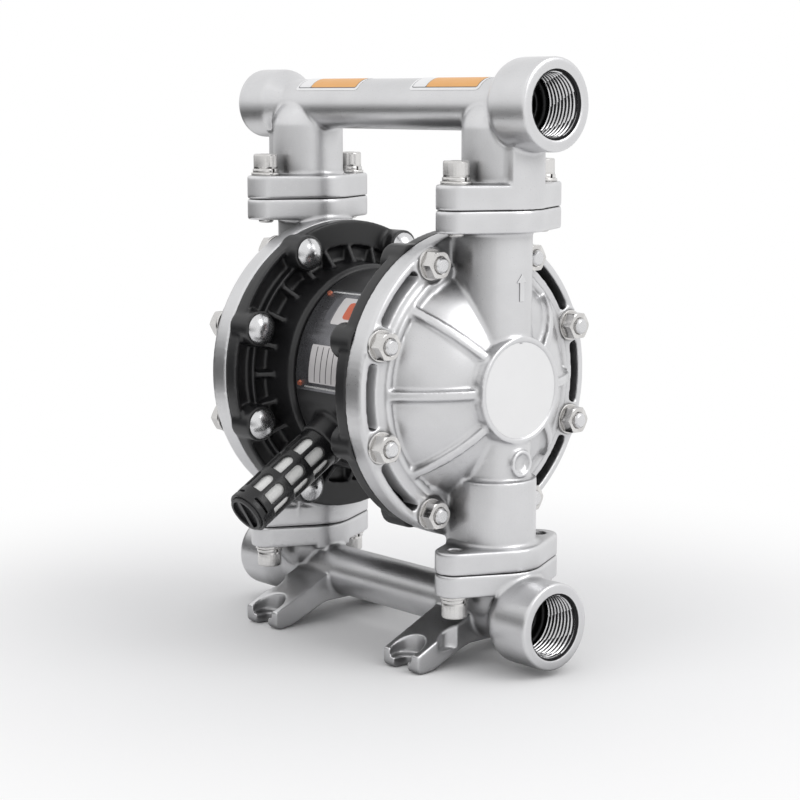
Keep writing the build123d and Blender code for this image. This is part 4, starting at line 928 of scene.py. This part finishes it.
# Blank prints on the nameplate: start and end along X and the corner radius in millimetres,
# first and last angle, rise and finish
plate_prints = {
    "line_top": (-14.5, 18.2, 36.6, 37.6, 0.0, foil_line, 0.0),
    "line_bottom": (-12.5, 18.2, 93.4, 94.4, 0.0, foil_line, 0.0),
    "field_top": (-1.5, 17.0, 40.5, 58.0, 0.0, foil_pale, 0.6),
    "field_red": (5.5, 14.5, 43.5, 54.5, print_height, foil_red, 2.0),
    "field_left": (-7.5, -3.0, 41.5, 56.0, 0.0, foil_grey, 0.6),
    "field_table": (-9.0, 17.0, 70.5, 91.5, 0.0, foil_pale, 0.4),
}
for count, x in enumerate(rule_starts):
    plate_prints[f"rule_{count}"] = (x, x + rule_width, 71.5, 90.8, print_height, foil_dark, 0.0)
for part, (x0, x1, angle0, angle1, rise, material, corner) in plate_prints.items():
    bent_patch(
        f"nameplate_{part}", x0 * mm, x1 * mm, angle0, angle1, chamber_z, plate_r + rise,
        print_height, material, corner * mm,
    )


# Floor, card, lamps, world and camera, in metres, watts, degrees and, for the lens, millimetres
floor_size = 6.0
floor_drop = 0.0002
floor_fade_start, floor_fade_end = 0.14, 0.42
lamp_size = (1.2, 1.2)
key_place, key_power = (1.3, 0.5, 1.2), 9
fill_place, fill_power = (-0.4, -1.5, 1.3), 5
world_tone = (0.72, 0.72, 0.73)
background_white = (1.0, 1.0, 1.0)
lens_length, sensor_width = 88.68, 36.0
camera_place = (0.7763, -0.6919, 0.2869)
camera_yaw, camera_pitch = 48.26, 8.76

# Dark curved card on the front left, seen in reflections alone, which gives metal its shaded side
card_direction = Vector((-0.848, -0.530, 0))
card_half_span = 110.0
card_radius = 0.55
card_foot, card_height = 0.001, 0.9
card_steps = 48
card_darkest = 0.05
card_edge = 0.80
card_fade_low = 0.15
card_fade_high = 0.32


def background_rays(tree):
    """1 on rays from the camera, or from metal or glass, that show the background."""
    path = tree.nodes.new("ShaderNodeLightPath")
    straight = maths(tree, "MAXIMUM", path.outputs["Is Camera Ray"], path.outputs["Is Glossy Ray"])
    return maths(tree, "MAXIMUM", straight, path.outputs["Is Transmission Ray"])


def stage_mesh(name, vertices, faces, material):
    """Object of the studio, which isn't part of the pump."""
    data = bpy.data.meshes.new(name)
    data.from_pydata(vertices, [], faces)
    data.materials.append(material)
    o = new_object(name, data)
    return o


def floor_finish():
    """Pale floor that keeps the shadow near the pump and runs into the white further out."""
    material = bpy.data.materials.new("pale_floor")
    material.use_nodes = True
    tree = material.node_tree
    shader = tree.nodes["Principled BSDF"]
    shader.inputs["Base Color"].default_value = (0.95, 0.95, 0.95, 1)
    shader.inputs["Roughness"].default_value = 0.9
    shader.inputs["Specular IOR Level"].default_value = 0.1
    coords = tree.nodes.new("ShaderNodeTexCoord")
    far = vector_maths(tree, "LENGTH", coords.outputs["Object"])
    spread = ramp(tree, far, "Value", floor_fade_start, floor_fade_end, 0.0, 1.0)
    spread.interpolation_type = "SMOOTHSTEP"
    shown = maths(tree, "MULTIPLY", spread.outputs["Result"], background_rays(tree))
    white = tree.nodes.new("ShaderNodeEmission")
    mixed = tree.nodes.new("ShaderNodeMixShader")
    tree.links.new(shown, mixed.inputs["Fac"])
    tree.links.new(shader.outputs["BSDF"], mixed.inputs[1])
    tree.links.new(white.outputs["Emission"], mixed.inputs[2])
    link(tree, mixed, "Shader", tree.nodes["Material Output"], "Surface")
    return material


floor = stage_mesh(
    "floor",
    [(-floor_size, -floor_size, 0), (floor_size, -floor_size, 0), (floor_size, floor_size, 0),
     (-floor_size, floor_size, 0)],
    [(0, 1, 2, 3)],
    floor_finish(),
)
floor.location.z = cad_low.z - floor_drop


def card_finish():
    """Tone of the card, darkest in its middle and fading into the white at its sides and top."""
    material = bpy.data.materials.new("card")
    material.use_nodes = True
    tree = material.node_tree
    coords = tree.nodes.new("ShaderNodeTexCoord")
    flat = vector_maths(tree, "MULTIPLY", coords.outputs["Object"], (1, 1, 0))
    facing = vector_maths(tree, "DOT_PRODUCT", flat.outputs["Vector"], card_direction / card_radius)
    edge_facing = math.cos(math.radians(card_half_span))
    tone = ramp(tree, facing, "Value", edge_facing, 1.0, card_edge, card_darkest)
    place = tree.nodes.new("ShaderNodeSeparateXYZ")
    link(tree, coords, "Object", place, "Vector")
    high = ramp(tree, place, "Z", card_fade_low, card_fade_high, 0.0, 1.0)
    lifted = tree.nodes.new("ShaderNodeMix")
    tree.links.new(high.outputs["Result"], lifted.inputs["Factor"])
    tree.links.new(tone.outputs["Result"], lifted.inputs["A"])
    lifted.inputs["B"].default_value = 1.0
    glow = tree.nodes.new("ShaderNodeEmission")
    tree.links.new(lifted.outputs["Result"], glow.inputs["Color"])
    link(tree, glow, "Emission", tree.nodes["Material Output"], "Surface")
    return material


def reflected_card():
    """The card as a curved wall that only glossy rays meet."""
    vertices = []
    middle_angle = math.atan2(card_direction.y, card_direction.x)
    for z in (card_foot, card_height):
        for i in range(card_steps + 1):
            angle = middle_angle + math.radians(card_half_span) * (2 * i / card_steps - 1)
            vertices.append((card_radius * math.cos(angle), card_radius * math.sin(angle), z))
    card = stage_mesh("card", vertices, grid_faces(2, card_steps + 1), card_finish())
    card.visible_camera = False
    card.visible_diffuse = False
    card.visible_transmission = False
    card.visible_shadow = False


reflected_card()


def lamp(name, place, size, power, aim):
    """Soft rectangular lamp that points at a place."""
    data = bpy.data.lights.new(name, "AREA")
    data.shape = "RECTANGLE"
    data.size, data.size_y = size
    data.energy = power
    o = new_object(name, data)
    o.location = place
    o.rotation_euler = (Vector(aim) - Vector(place)).to_track_quat("-Z", "Y").to_euler()


aim = (0, 0, chamber_z)
lamp("key", key_place, lamp_size, key_power, aim)
lamp("fill", fill_place, lamp_size, fill_power, aim)

world = bpy.data.worlds.new("studio")
bpy.context.scene.world = world
world.use_nodes = True
tree = world.node_tree
background = tree.nodes["Background"]
background.inputs["Strength"].default_value = 1.0
lit = blend_colour(tree, background_rays(tree), world_tone, background_white)
tree.links.new(lit, background.inputs["Color"])

camera_data = bpy.data.cameras.new("camera")
camera_data.lens = lens_length
camera_data.sensor_width = sensor_width
camera = new_object("camera", camera_data)
camera.location = camera_place
camera.rotation_euler = (math.radians(90 - camera_pitch), 0, math.radians(camera_yaw))
camera_data.clip_start = 0.01
camera_data.clip_end = 50.0
bpy.context.scene.camera = camera
bpy.context.scene.view_settings.view_transform = "Standard"
